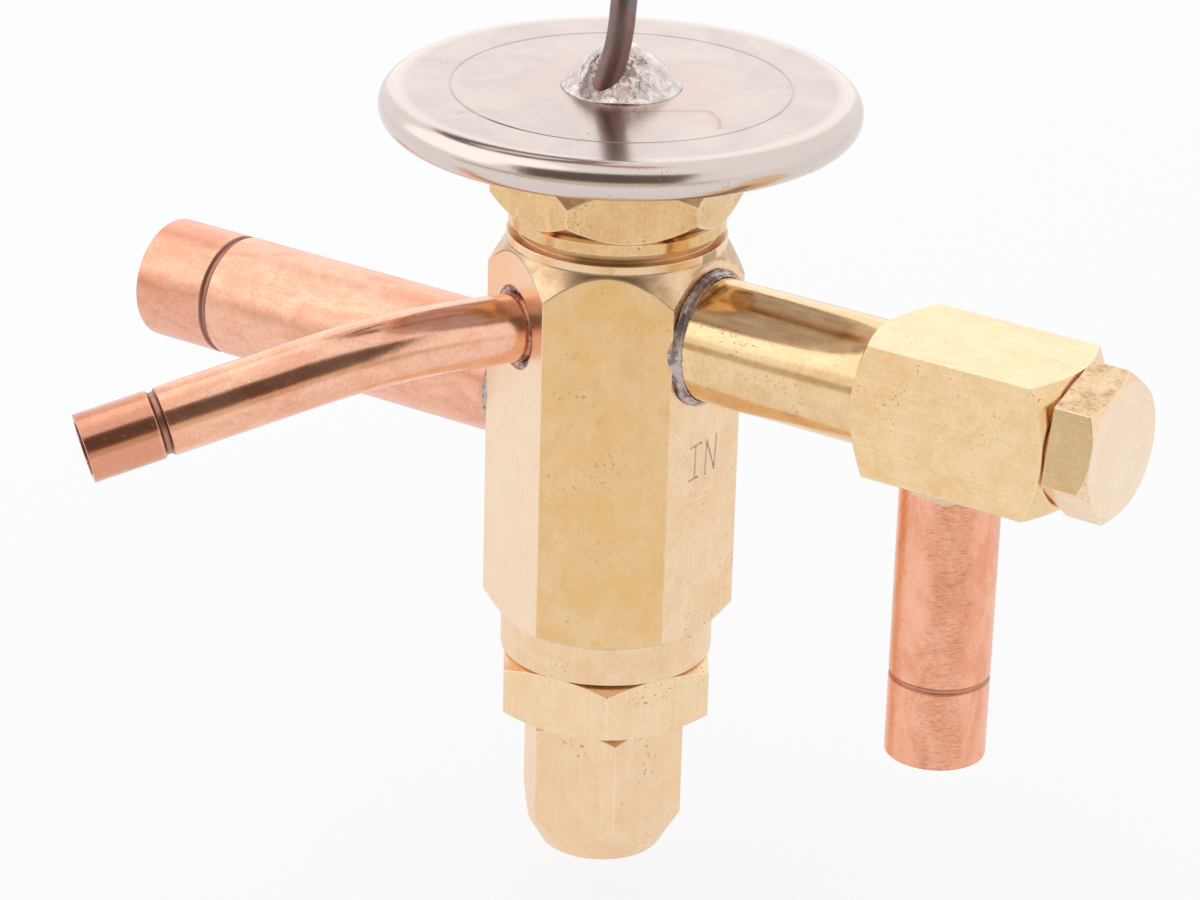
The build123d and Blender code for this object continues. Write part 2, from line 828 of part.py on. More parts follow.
with BuildPart() as strainer_cap:
    with BuildSketch(station(hex_start)):
        hexagon(hex_flats, hex_turn - 30)
    extrude(amount=hex_h)
    turn(
        (hex_start, 0),
        (hex_start, hex_corner),
        (hex_end - hex_chamfer, hex_corner),
        (hex_end, hex_flats / 2),
        (hex_end, 0),
        axis=arm_axis,
        mode=Mode.INTERSECT,
    )
    turn(
        (plug_end, 0),
        (plug_end, plug_core_r - thread_depth),
        (plug_end + thread_depth, plug_core_r),
        (hex_start, plug_core_r),
        (hex_start, 0),
        axis=arm_axis,
    )
    drill(station(plug_end), screen_clip_r + fit, plug_depth / 2)
save(strainer_cap, "strainer_cap")

with BuildPart() as strainer_screen:
    turn(
        (arm_end + seat_gap, screen_r - screen_wall),
        (plug_end - 0.6, screen_r - screen_wall),
        (plug_end - 0.6, 0),
        (plug_end + plug_depth / 2 - 1, 0),
        (plug_end + plug_depth / 2 - 1, screen_clip_r),
        (plug_end - 0.3, screen_clip_r),
        (plug_end - 0.3, screen_r),
        (arm_end + seat_gap + screen_ring, screen_r),
        (arm_end + seat_gap + screen_ring, block_bore_r - fit),
        (arm_end + seat_gap, block_bore_r - fit),
        axis=arm_axis,
    )
save(strainer_screen, "strainer_screen")

# ---- Copper connections -------------------------------------------------------------

inlet_mouth = Vector(0, 0, 0)
outlet_mouth = place(-outlet_reach, 0, -outlet_drop)
end_out = Vector(
    cos(radians(equal_end_droop)) * cos(radians(equal_end_azimuth)),
    cos(radians(equal_end_droop)) * sin(radians(equal_end_azimuth)),
    -sin(radians(equal_end_droop)),
)
equal_start = centre + equal_out * (equal_seat + seat_gap)
equal_bend = centre + equal_out * (flat + equal_straight)
equal_mouth = equal_bend + end_out * equal_end_run
equal_turn = radians(equal_out.get_angle(end_out))
bend_tangent = equal_bend_r * tan(equal_turn / 2)

with BuildPart() as inlet_tube:
    tube_section(
        inlet_mouth, Vector(0, 0, 1), (inlet_drop + stub_top - seat_gap, inlet_socket), inlet_bore_r, inlet_wall
    )
save(inlet_tube, "inlet_tube")

with BuildPart() as outlet_tube:
    tube_section(
        outlet_mouth,
        Vector(1, 0, 0),
        (outlet_reach + outlet_inner - seat_gap, outlet_socket),
        outlet_bore_r,
        outlet_wall,
    )
save(outlet_tube, "outlet_tube")

with BuildPart() as equalizer_tube:
    with BuildLine():
        run = FilletPolyline(
            equal_start, equal_bend, equal_bend + end_out * 1.5 * bend_tangent, radius=equal_bend_r
        )
    with BuildSketch(Plane(run @ 0, z_dir=run % 0)):
        Circle(equal_r)
        Circle(equal_bore_r, mode=Mode.SUBTRACT)
    sweep(path=run)
    tube_section(
        equal_mouth, end_out * -1, (equal_end_run - 1.5 * bend_tangent, equal_socket), equal_bore_r, equal_wall
    )
save(equalizer_tube, "equalizer_tube")


def body_bar():
    """Cut away the body's hexagon from a fillet that lies against it."""
    with BuildSketch(level(body_bottom)) as bar:
        hexagon(body_flats, 0)
    extrude(bar.sketch, amount=neck_top - body_bottom, mode=Mode.SUBTRACT)


with BuildPart() as arm_braze:
    turn(
        (flat - 2 * braze_w, arm_r + fit),
        (flat + braze_h, arm_r + fit),
        (flat + seat_gap, arm_r + braze_w),
        (flat - 2 * braze_w, arm_r + braze_w),
        axis=arm_axis,
    )
    body_bar()
save(arm_braze, "arm_braze")

with BuildPart() as outlet_braze:
    ring_back = Plane(place(-flat + braze_w, 0, -outlet_drop), z_dir=(-1, 0, 0))
    with BuildSketch(ring_back):
        Circle(outlet_r + braze_w / 2)
        Circle(outlet_r + fit, mode=Mode.SUBTRACT)
    extrude(amount=1.5 * braze_w)
    body_bar()
save(outlet_braze, "outlet_braze")

with BuildPart() as equalizer_braze:
    with BuildSketch(equal_bore.offset(-equal_recess_depth)):
        Circle(equal_recess_r - fit)
        Circle(equal_r + fit, mode=Mode.SUBTRACT)
    extrude(amount=equal_recess_depth - 0.4)
save(equalizer_braze, "equalizer_braze")

with BuildPart() as inlet_braze:
    with BuildSketch(Plane(place(inlet_offset, 0, -half))):
        Circle(inlet_r + braze_w * 0.7)
        Circle(inlet_r + fit, mode=Mode.SUBTRACT)
    extrude(amount=-0.6 * braze_h)
save(inlet_braze, "inlet_braze")

# ---- Capillary, coil and bulb -------------------------------------------------------

coil_start = riser[-1]
start_heading = riser_runs[-1][1]
coil_centre = coil_start + Vector(coil_r, 0, 0).rotate(Axis.Z, start_heading + 90)
coil_bottom = coil_start.Z - capillary_r
coil_height = coil_turns * coil_pitch + 2 * capillary_r
coil_axis = Plane(Vector(coil_centre.X, coil_centre.Y, coil_bottom))
leave_at = start_heading - 90 + 360 * coil_turns
leave = Vector(coil_r, 0, coil_turns * coil_pitch + capillary_r).rotate(Axis.Z, leave_at)
tail = follow(coil_axis.origin + leave, tail_runs)
print("riser radii", [round(radius, 1) for radius in bend_radii(riser)])
print("tail radii", [round(radius, 1) for radius in bend_radii(tail)])

with BuildPart() as capillary_tube:
    with BuildLine():
        route = FilletPolyline(*riser, radius=bend_radii(riser))
    with BuildSketch(Plane(route @ 0, z_dir=route % 0)):
        Circle(capillary_r)
    sweep(path=route)
    split(bisect_by=level(cover_top), keep=Keep.TOP)
save(capillary_tube, "capillary_tube")

with BuildPart() as capillary_tail:
    with BuildLine():
        loop = FilletPolyline(*tail, radius=bend_radii(tail))
    with BuildSketch(Plane(loop @ 0, z_dir=loop % 0)):
        Circle(capillary_r)
    sweep(path=loop)
save(capillary_tail, "capillary_tail")
length = route.length + loop.length + coil_turns * hypot(2 * pi * coil_r, coil_pitch)
print("capillary length", round(length, 1))

with BuildPart() as capillary_coil:
    with BuildSketch(coil_axis):
        Circle(coil_r + capillary_r + coil_play)
        Circle(coil_r - capillary_r - coil_play, mode=Mode.SUBTRACT)
    extrude(amount=coil_height)
save(capillary_coil, "capillary_coil")

with BuildPart() as coil_tie:
    outward = Vector(1, 0, 0).rotate(Axis.Z, tie_at)
    section = Plane(coil_axis.origin, x_dir=outward, z_dir=square_to(outward) * -1)
    with BuildSketch(section.offset(-tie_w / 2)):
        with Locations((coil_r, coil_height / 2)):
            wide = 2 * (capillary_r + coil_play)
            Rectangle(wide + 2 * tie_t, coil_height + 2 * tie_t)
            Rectangle(wide + tie_t, coil_height + tie_t, mode=Mode.SUBTRACT)
    extrude(amount=tie_w)
save(coil_tie, "coil_tie")

with BuildPart() as sensing_bulb:
    along = (tail[-1] - tail[-2]).normalized()
    with BuildSketch(Plane(origin=tail[-1], x_dir=along, z_dir=square_to(along))):
        with BuildLine():
            Polyline((0, 0), (0, bulb_neck_r), (bulb_neck, bulb_neck_r))
            RadiusArc((bulb_neck, bulb_neck_r), (2 * bulb_neck, bulb_r), bulb_neck)
            Line((2 * bulb_neck, bulb_r), (bulb_length - bulb_r / 2, bulb_r))
            RadiusArc((bulb_length - bulb_r / 2, bulb_r), (bulb_length, bulb_r / 2), bulb_r / 2)
            Polyline((bulb_length, bulb_r / 2), (bulb_length, 0), (0, 0))
        make_face()
    revolve(axis=Axis(tail[-1], along))
save(sensing_bulb, "sensing_bulb")
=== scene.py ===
# %% [markdown]
# # A thermostatic expansion valve
# This valve meters refrigerant into an evaporator. A steel diaphragm case sits on a
# hexagonal brass body, and copper tubes, an inlet arm with a strainer and a long
# capillary with a sensing bulb leave it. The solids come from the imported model, and this
# lesson gives them their finishes, the details too fine for the solids, and the studio.

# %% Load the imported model
from math import cos, pi, radians, sin

import bmesh
import bpy
from mathutils import Matrix, Vector, noise


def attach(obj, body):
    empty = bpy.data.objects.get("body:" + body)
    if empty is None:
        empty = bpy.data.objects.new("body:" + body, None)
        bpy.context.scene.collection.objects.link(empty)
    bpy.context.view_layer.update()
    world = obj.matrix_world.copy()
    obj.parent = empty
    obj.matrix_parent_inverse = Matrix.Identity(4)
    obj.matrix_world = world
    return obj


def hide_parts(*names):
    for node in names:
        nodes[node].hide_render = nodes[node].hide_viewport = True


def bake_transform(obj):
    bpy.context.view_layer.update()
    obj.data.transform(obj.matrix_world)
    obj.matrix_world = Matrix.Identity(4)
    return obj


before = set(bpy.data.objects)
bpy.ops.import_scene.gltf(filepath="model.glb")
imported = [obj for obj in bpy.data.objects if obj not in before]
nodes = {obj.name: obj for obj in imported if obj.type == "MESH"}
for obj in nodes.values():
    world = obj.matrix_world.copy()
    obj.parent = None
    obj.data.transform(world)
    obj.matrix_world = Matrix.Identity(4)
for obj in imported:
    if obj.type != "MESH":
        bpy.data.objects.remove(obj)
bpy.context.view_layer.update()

# %% [markdown]
# ## Places
# The model's origin is the mouth of the inlet tube. Most of the valve is easier to
# describe from the point where the body's axis crosses the inlet arm's, so one helper
# turns millimetres from that crossing into metres in the model's frame. The case's cover
# lies 27.2 mm above it.

# %% Millimetres from the crossing of the two axes
mm = 0.001
crossing = Vector((-45.0, 0.0, 42.0))
cover_top = 27.2


def at(x, y, z):
    """A point given in millimetres from the crossing of the body's axis and the arm's."""
    return (crossing + Vector((x, y, z))) * mm


def direction(heading, rise):
    """The direction with a heading and a rise, both in radians."""
    return Vector((cos(rise) * cos(heading), cos(rise) * sin(heading), sin(rise)))


def put(name, data):
    """A new object in the scene, at the origin."""
    thing = bpy.data.objects.new(name, data)
    bpy.context.collection.objects.link(thing)
    return thing


print("crossing", [round(v, 4) for v in at(0, 0, 0)])

# %% [markdown]
# ## Camera
# A long lens a little above the valve flattens the perspective. The camera's three axes
# are worked out from an azimuth, an elevation and a small roll, and they become the
# columns of its matrix.

# %% Camera
azimuth, elevation, roll = radians(-56.368), radians(23.374), radians(1.58)
back = direction(azimuth, elevation)
level = Vector((-sin(azimuth), cos(azimuth), 0))
upright = back.cross(level)
right = level * cos(roll) + upright * sin(roll)
above = upright * cos(roll) - level * sin(roll)

lens = bpy.data.cameras.new("camera")
lens.lens, lens.sensor_width = 129.0, 36.0
lens.clip_start, lens.clip_end = 0.01, 20.0
camera = put("camera", lens)
camera_turn = Matrix((right, above, back)).transposed().to_4x4()
camera.matrix_world = Matrix.Translation(at(252.82, -382.36, 180.81)) @ camera_turn
bpy.context.scene.camera = camera
print("camera at", [round(v, 3) for v in camera.matrix_world.translation])

# %% [markdown]
# ## Capillary
# The capillary is one long copper tube, soldered into the top of the case, and it ends in
# the bulb. It is a single NURBS curve: the points of its route are the control points, and
# the turns of the coil are more points of the same spline. The route starts with a bend
# given point by point, and goes on in runs, each with a length, a heading and a rise.

# %% The capillary's route
riser_bend = (
    (1.1, 0.73, 3.9), (1.7, 1.12, 8.0), (1.5, 1.8, 12.0),
    (0.9, 4.2, 16.2), (-0.6, 8.8, 19.9), (-4.65, 14.29, 22.36),
)
riser_runs = ((10.2, 160.0, 22.0), (10.2, 190.0, 10.0))
tail_runs = (
    (10.0, 145.0, 3.0), (10.0, 148.0, 6.0), (10.5, 153.0, 8.0), (10.5, 168.0, 9.0), (11.0, 203.0, 9.0),
    (11.0, 238.0, 6.0), (11.0, 273.0, 3.5), (11.0, 308.0, 0.0), (11.0, 340.0, 0.0), (8.0, 358.0, 0.0),
)
coil_r, coil_turns, coil_pitch, points_per_turn = 17.0, 5.875, 3.05, 16


def follow(start, runs):
    """The points of a route, from runs of (millimetres, heading, rise)."""
    points = [start]
    for length, heading, rise in runs:
        heading, rise = radians(heading), radians(rise)
        flat = length * cos(rise)
        step = Vector((flat * cos(heading), flat * sin(heading), length * sin(rise)))
        points.append(points[-1] + step * mm)
    return points


foot = at(0.27, -4.38, cover_top)
bend = [foot + Vector(step) * mm for step in riser_bend]
riser = [foot] + follow(bend[-1], riser_runs)
riser[1:1] = bend[:-1]
coil_side = radians(riser_runs[-1][1] + 90)
coil_centre = riser[-1] + Vector((cos(coil_side), sin(coil_side), 0)) * coil_r * mm
coil = []
for step in range(round(coil_turns * points_per_turn) + 1):
    turned = step / points_per_turn
    angle = coil_side + pi + 2 * pi * turned
    outward = Vector((cos(angle), sin(angle), 0)) * coil_r * mm
    coil.append(coil_centre + outward + Vector((0, 0, turned * coil_pitch * mm)))
tail = follow(coil[-1], tail_runs)
print("coil points", len(coil), "tail ends", [round(v, 4) for v in tail[-1]])

# %% [markdown]
# The spline's order is set after the points are in, because a spline without points falls
# back to straight runs. The tube's radius is each point's own radius times a bevel of one,
# because a curve's box grows by its points' radii, and the radius of one that a point
# starts with is a whole metre.

# %% The capillary's curve
capillary_r = 1.5
route = riser + coil[1:] + tail[1:]
capillary_line = bpy.data.curves.new("capillary", "CURVE")
capillary_line.dimensions = "3D"
spline = capillary_line.splines.new("NURBS")
spline.points.add(len(route) - 1)
for point, place in zip(spline.points, route):
    point.co = (*place, 1.0)
    point.radius = capillary_r * mm
spline.order_u = 3
spline.use_endpoint_u = True
capillary_line.resolution_u = 6
capillary_line.bevel_depth = 1.0
capillary_line.bevel_resolution = 5
capillary_line.use_fill_caps = True
capillary = put("capillary", capillary_line)
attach(capillary, "valve")
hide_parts("capillary_tube", "capillary_coil", "capillary_tail")
print("capillary points", len(route))

# %% [markdown]
# ## Shader recipes
# Every finish below is a small node tree. Two classes keep the recipes readable. A Wire
# is a socket that can be used in arithmetic, so that `1 - mask` adds its own Math node,
# and a Recipe adds any other node from its type, its settings and its sockets.

# %% Wires: sockets in arithmetic
def plug(socket, value):
    """Link a wire to a socket, or set the socket's own value."""
    if isinstance(value, Wire):
        socket.id_data.links.new(value.socket, socket)
    else:
        socket.default_value = value


def find(sockets, key):
    """A socket by its place in the list, its identifier or its name."""
    if isinstance(key, int):
        return sockets[key]
    return next((s for s in sockets if s.identifier == key), None) or sockets[key]


class Wire:
    """An output socket whose sums and products add Math nodes to its tree."""

    def __init__(self, socket):
        self.socket = socket

    def twin(self, key):
        """Another output of the same node."""
        return Wire(find(self.socket.node.outputs, key))

    def combine(self, operation, *values):
        node = self.socket.id_data.nodes.new("ShaderNodeMath")
        node.operation = operation
        for socket, value in zip(node.inputs, values):
            plug(socket, value)
        return Wire(node.outputs[0])

    def __add__(self, other):
        return self.combine("ADD", self, other)

    def __sub__(self, other):
        return self.combine("SUBTRACT", self, other)

    def __rsub__(self, other):
        return self.combine("SUBTRACT", other, self)

    def __mul__(self, other):
        return self.combine("MULTIPLY", self, other)

    def __truediv__(self, other):
        return self.combine("DIVIDE", self, other)

    def __pow__(self, other):
        return self.combine("POWER", self, other)

    def __abs__(self):
        return self.combine("ABSOLUTE", self)

    __radd__ = __add__
    __rmul__ = __mul__


print("a wire's arithmetic goes through", Wire.combine.__qualname__)

# %% Recipes: trees of nodes
def srgb(red, green, blue):
    """A colour written in the 0 to 255 numbers of a display, as linear light."""
    light = [v / 255 for v in (red, green, blue)]
    light = [v / 12.92 if v <= 0.04045 else ((v + 0.055) / 1.055) ** 2.4 for v in light]
    return (*light, 1.0)


def toned(colour, factor):
    """A darker or a brighter tone of a colour in the same 0 to 255 numbers."""
    return [min(255, v * factor) for v in colour]


class Recipe:
    """A shader tree under construction, with one method that adds any node."""

    family = "ShaderNode"

    def __init__(self, tree):
        self.tree = tree
        tree.nodes.clear()

    def add(self, kind, settings, sockets, out=0):
        """Add a node, apply its settings, fill its sockets and return one output."""
        node = self.tree.nodes.new(kind if "Node" in kind else self.family + kind)
        for name, value in settings.items():
            setattr(node, name, value)
        for key, value in sockets.items():
            plug(find(node.inputs, key), value)
        return Wire(find(node.outputs, out)) if len(node.outputs) else None

    def mix(self, share, first, second):
        """Two colours, mixed by a share from 0 to 1."""
        sockets = {"Factor_Float": share, "A_Color": first, "B_Color": second}
        return self.add("Mix", {"data_type": "RGBA"}, sockets, "Result_Color")

    def coat(self, tone, *layers):
        """A tone under layers, each a share from 0 to 1 and a colour."""
        for share, colour in layers:
            tone = self.mix(share, tone, srgb(*colour))
        return tone

    def vector(self, operation, *values, out=0):
        return self.add("VectorMath", {"operation": operation}, dict(enumerate(values)), out)

    def dot(self, first, second):
        """The dot product of a wire and another wire or a fixed direction."""
        second = second if isinstance(second, Wire) else tuple(second)
        return self.vector("DOT_PRODUCT", first, second, out="Value")

    def edge(self, value, low, high):
        """A soft step from 0 to 1 as a value passes from low to high."""
        sockets = {"Value": value, "From Min": low, "From Max": high}
        return self.add("MapRange", {"interpolation_type": "SMOOTHSTEP"}, sockets)


print("plain white is", srgb(255, 255, 255))

# %% [markdown]
# A finish on metal is mostly small differences: faint clouds, the lines that a tool left,
# a few pits. They are noises on Object coordinates, measured in millimetres from the
# crossing of the two axes, so that a number in a recipe is a size on the real valve.
# Rough, warp and shift are a noise's roughness, its distortion and its place in the
# pattern.

# %% Finishes: recipes with surface patterns
class Finish(Recipe):
    """A material recipe that measures its patterns in millimetres."""

    def __init__(self, name):
        self.material = bpy.data.materials.new(name)
        self.material.use_nodes = True
        super().__init__(self.material.node_tree)
        place = self.add("TexCoord", {}, {}, "Object")
        millimetres = (1000.0, 1000.0, 1000.0)
        self.point = self.vector("MULTIPLY_ADD", place, millimetres, tuple(-crossing))
        self.x = self.add("SeparateXYZ", {}, {0: self.point})
        self.y, self.z = self.x.twin(1), self.x.twin(2)

    def radius(self, axis="z"):
        """The distance from the body's axis, or from the arm's."""
        first, second = {"z": (self.x, self.y), "x": (self.y, self.z)}[axis]
        return (first * first + second * second) ** 0.5

    def round_place(self, axis="z"):
        """A place that stays the same all round an axis, for the rings of a tool."""
        along = self.z if axis == "z" else self.x
        return self.add("CombineXYZ", {}, {0: self.radius(axis), 1: along})

    def true_normal(self):
        """The direction that the flat face itself looks in."""
        return self.add("NewGeometry", {}, {}, "True Normal")

    def noise(self, size, detail=3.0, rough=0.6, warp=0.0, shift=0.0, point=None):
        """A noise whose blotches are about as large as the size, one for each axis."""
        sizes = size if isinstance(size, tuple) else (size, size, size)
        spread = tuple(1 / v for v in sizes)
        offset = (shift, shift * 1.7, shift * 0.6)
        place = self.vector("MULTIPLY_ADD", point or self.point, spread, offset)
        sockets = {"Vector": place, "Scale": 1.0, "Detail": detail, "Roughness": rough, "Distortion": warp}
        return self.add("TexNoise", {}, sockets)

    def flecks(self, size, spread, shift=0.0):
        """Small uneven marks of about that size, gathered in loose groups."""
        spots = self.noise(size, 2.0, warp=0.4, shift=shift)
        groups = self.noise(spread, 2.0, rough=0.5, shift=shift + 7)
        return self.edge(spots, 0.635, 0.69) * self.edge(groups, 0.56, 0.66)

    def scratches(self, *kinds):
        """Fine straight marks, from kinds of (length, width, share, turn in degrees, shift)."""
        marks = None
        for length, width, share, turn, shift in kinds:
            angles = tuple(radians(v) for v in turn)
            turned = self.add("Mapping", {}, {"Vector": self.point, "Rotation": angles})
            lines = self.noise((width, width, length), 1.0, 0.4, shift=shift, point=turned)
            kind = self.edge(lines, 0.78 - share, 0.84 - share)
            marks = marks.combine("MAXIMUM", marks, kind) if marks else kind
        return marks

    def bevelled(self, radius):
        """A normal that turns softly over sharp edges, as if they had that radius."""
        return self.add("Bevel", {"samples": 4}, {"Radius": radius * mm})

    def rounded(self, height, strength, depth, radius=0.18):
        """A normal with softened edges, and with a height in millimetres on top."""
        sockets = {"Strength": strength, "Distance": depth * mm, "Height": height}
        return self.add("Bump", {}, {**sockets, "Normal": self.bevelled(radius)})

    def edges(self, radius):
        """A mask of the sharp edges, where the softened normal leaves the true one."""
        return 1 - self.edge(self.dot(self.bevelled(radius), self.true_normal()), 0.90, 0.995)

    def done(self, base_color, roughness, normal, metallic=1.0):
        """The Principled shader that ends every recipe, on its output."""
        sockets = {"Base Color": base_color, "Metallic": metallic, "Roughness": roughness, "Normal": normal}
        shader = self.add("BsdfPrincipled", {}, sockets)
        self.add("OutputMaterial", {}, {"Surface": shader})
        return self.material


finishes = {}


def dress(finish, *names):
    """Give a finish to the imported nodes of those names."""
    for name in names:
        nodes[name].material_slots[0].material = finish
    finishes[finish.name] = len(names)


print("a finish measures from", tuple(crossing), "in millimetres")

# %% [markdown]
# ## Studio
# The valve stands over a white table in a light tent. Bare metal only looks like metal
# when a part of what it mirrors is darker, so three cards break the white: the tent's dark
# opening, the edge of the table and the room beyond it. The camera and the mirror-like
# rays see the plain white tent. Only mirror-like rays see the cards.

# %% Tent
world = bpy.data.worlds.new("tent")
bpy.context.scene.world = world
world.use_nodes = True
tent = Recipe(world.node_tree)
path = tent.add("LightPath", {}, {}, "Is Camera Ray")
seen = path.combine("MAXIMUM", path, path.twin("Is Glossy Ray"))
seen = seen.combine("MAXIMUM", seen, path.twin("Is Transmission Ray"))
white = srgb(255, 255, 255)
glow = tent.mix(seen, srgb(236, 238, 242), white)
shade = tent.add("Background", {}, {"Color": glow, "Strength": 1.0})
tent.add("OutputWorld", {}, {"Surface": shade})
bpy.context.scene.view_settings.view_transform = "Standard"
print("tent", world.name)

# %% [markdown]
# The table stands 8 mm below the seal cap, so that the cap can be screwed off. Its paper
# glows a little for the camera and for mirror-like rays, which keeps it as pale as the
# tent, and it still takes the valve's shadow.

# %% Table
def sheet_of(name, centre, across, up, width, height):
    """A flat rectangle in the studio, from its middle and its two directions."""
    across, up = Vector(across).normalized() * width / 2, Vector(up).normalized() * height / 2
    corners = (centre - across - up, centre + across - up, centre + across + up, centre - across + up)
    mesh = bpy.data.meshes.new(name)
    mesh.from_pydata([tuple(c) for c in corners], [], [(0, 1, 2, 3)])
    sheet = put(name, mesh)
    return sheet


table_top = at(0, 0, -75.5)
table = sheet_of("table", table_top, across=(1, 0, 0), up=(0, 1, 0), width=8.0, height=8.0)
paper = Finish("table_paper")
ray = paper.add("LightPath", {}, {}, "Is Camera Ray")
clear = ray.combine("MAXIMUM", ray * 0.75, ray.twin("Is Glossy Ray") * 0.55)
matte = paper.add("BsdfDiffuse", {}, {"Color": srgb(250, 250, 250)})
bright = paper.add("Emission", {}, {"Color": white, "Strength": 1.0})
both = paper.add("MixShader", {}, {0: clear, 1: matte, 2: bright})
paper.add("OutputMaterial", {}, {"Surface": both})
table.data.materials.append(paper.material)
print("table at", round(table_top.z, 4))

# %% Lamps
def lamp(name, place, size, power):
    """A square soft light that shines from a place towards the valve's middle."""
    light = bpy.data.lights.new(name, "AREA")
    light.shape, light.size, light.energy = "SQUARE", size, power
    turn = (at(0, 0, 10) - place).to_track_quat("-Z", "Y").to_matrix().to_4x4()
    put(name, light).matrix_world = Matrix.Translation(place) @ turn


lamp("key_light", at(-420, -260, 480), size=0.80, power=0.85)
lamp("back_light", at(-305, 458, 250), size=0.50, power=0.2)
print("lamps", [light.name for light in bpy.data.lights])

# %% Cards
opening_heading = radians(-64)
outlook = direction(opening_heading, radians(23))
sideways = Vector((-sin(opening_heading), cos(opening_heading), 0))
opening_at = at(*(outlook * 420))
cards = (
    ("tent_opening", opening_at, sideways, sideways.cross(outlook), 0.64, 0.46, (104, 92, 84)),
    ("table_edge", at(160, -245, -62), (0.84, 0.54, 0), (0, 0, 1), 0.60, 0.16, (220, 210, 190)),
    ("far_room", at(-30, -330, 0), (1, 0.12, 0), (0, 0, 1), 0.70, 0.07, (206, 194, 170)),
)
for name, centre, across, up, width, height, colour in cards:
    card = sheet_of(name, centre, across, up, width, height)
    dim = Finish(name)
    shine = dim.add("Emission", {}, {"Color": srgb(*colour), "Strength": 1.0})
    dim.add("OutputMaterial", {}, {"Surface": shine})
    card.data.materials.append(dim.material)
    card.visible_camera = card.visible_diffuse = card.visible_shadow = False
print("opening towards", [round(v, 2) for v in outlook])

# %% [markdown]
# ## Brass
# The body, nuts and caps are cut from hexagonal brass bar. Their flats keep the fine
# lines of the drawn bar, and the turned cones and collars have the rings of the tool
# that cut them. Handling leaves clouds of tarnish, pits and a few scratches, and the sharp
# edges carry a painted highlight. One recipe makes them all, because the pieces differ only
# in the direction of their bar, in their tones and in a few marks and painted light of their own.

# %% The brass recipe
# The last of these colours is a painted highlight for the sharp edges.
pit_brown, scratch_brown, edge_highlight_gold = (136, 100, 64), (156, 118, 80), (255, 246, 222)


def brass(name, bar_axis, face, dark, roughness, grain, soil, seed, extra):
    """Machined brass: which way its bar runs, and its pale and tarnished tones."""
    finish = Finish(name)
    normal = finish.add("NewGeometry", {}, {}, "Normal")
    slope = finish.add("SeparateXYZ", {}, {0: normal}, {"z": "Z", "x": "X"}[bar_axis])
    turned = finish.edge(abs(slope), 0.04, 0.12)
    fine, long = 0.22, 26.0
    drawn_size = (fine, fine, long) if bar_axis == "z" else (long, fine, fine)
    drawn = finish.noise(drawn_size, 2.0, shift=seed)
    rings = finish.noise((0.14, 0.14, 1.0), 2.0, shift=seed, point=finish.round_place(bar_axis))
    lines = drawn + turned * (rings - drawn)
    clouds = finish.noise(3.6, 5.0, rough=0.62, warp=0.6, shift=seed + 3)
    grit = finish.noise(0.5, 4.0, rough=0.7, shift=seed + 5)
    stains = finish.noise(6.5, 4.0, rough=0.55, warp=0.8, shift=seed + 9)
    stains = finish.edge(stains, 0.56, 0.72)
    pits = finish.flecks(0.42, 5.0, seed)
    steep, shallow = (3.2, 0.10, 0.02, (24, 63, 10), seed), (2.4, 0.09, 0.02, (68, -25, 40), seed + 4)
    marks = finish.scratches(steep, shallow)
    tone = finish.mix(finish.edge(clouds + (grit - 0.5) * 0.7, 0.25, 0.75), srgb(*dark), srgb(*face))
    tone = finish.coat(
        tone,
        ((lines - 0.5) * grain + 0.12, toned(dark, 0.88)),
        (stains * soil * 0.22, toned(dark, 0.84)),
        (pits * (0.25 + soil * 0.8), pit_brown),
        (marks * 0.50, scratch_brown),
        *(extra(finish) if extra else ()),
        # Painted highlight: the sharp edges are mixed towards a pale gold.
        (finish.edges(0.28) * 0.85, edge_highlight_gold),
    )
    height = lines * 0.10 * grain + grit * 0.08 - pits * 0.6 - marks * 0.3
    return finish.done(
        base_color=tone,
        roughness=roughness + (clouds - 0.5) * 0.16 + stains * soil * 0.12 + (lines - 0.5) * 0.05,
        normal=finish.rounded(height, strength=0.55, depth=0.12),
    )


# The pale gold is a painted highlight on the sharp edges of all the brass.
print("brass is worn to", edge_highlight_gold, "on its edges")

# %% [markdown]
# The body has a thin dark line where its top cone meets the flats, painted shade in its
# groove and in the stamped letters, blotches on its cone that are partly stains and partly
# painted shade, and one front flat darker and more golden as painted shade, with a paler one
# beside it as painted light. The strainer cap has a brushed brown patch on its upper flat,
# and its front and end faces are painted paler, as painted light. The upper faces of the
# strainer's housing are painted paler, as painted light.

# %% Marks of single brass pieces
cone_r, cone_foot, cone_slope = 12.6, 9.12, 0.5774
letters_from, letters_to = (12.50, 12.53), (12.66, 12.69)


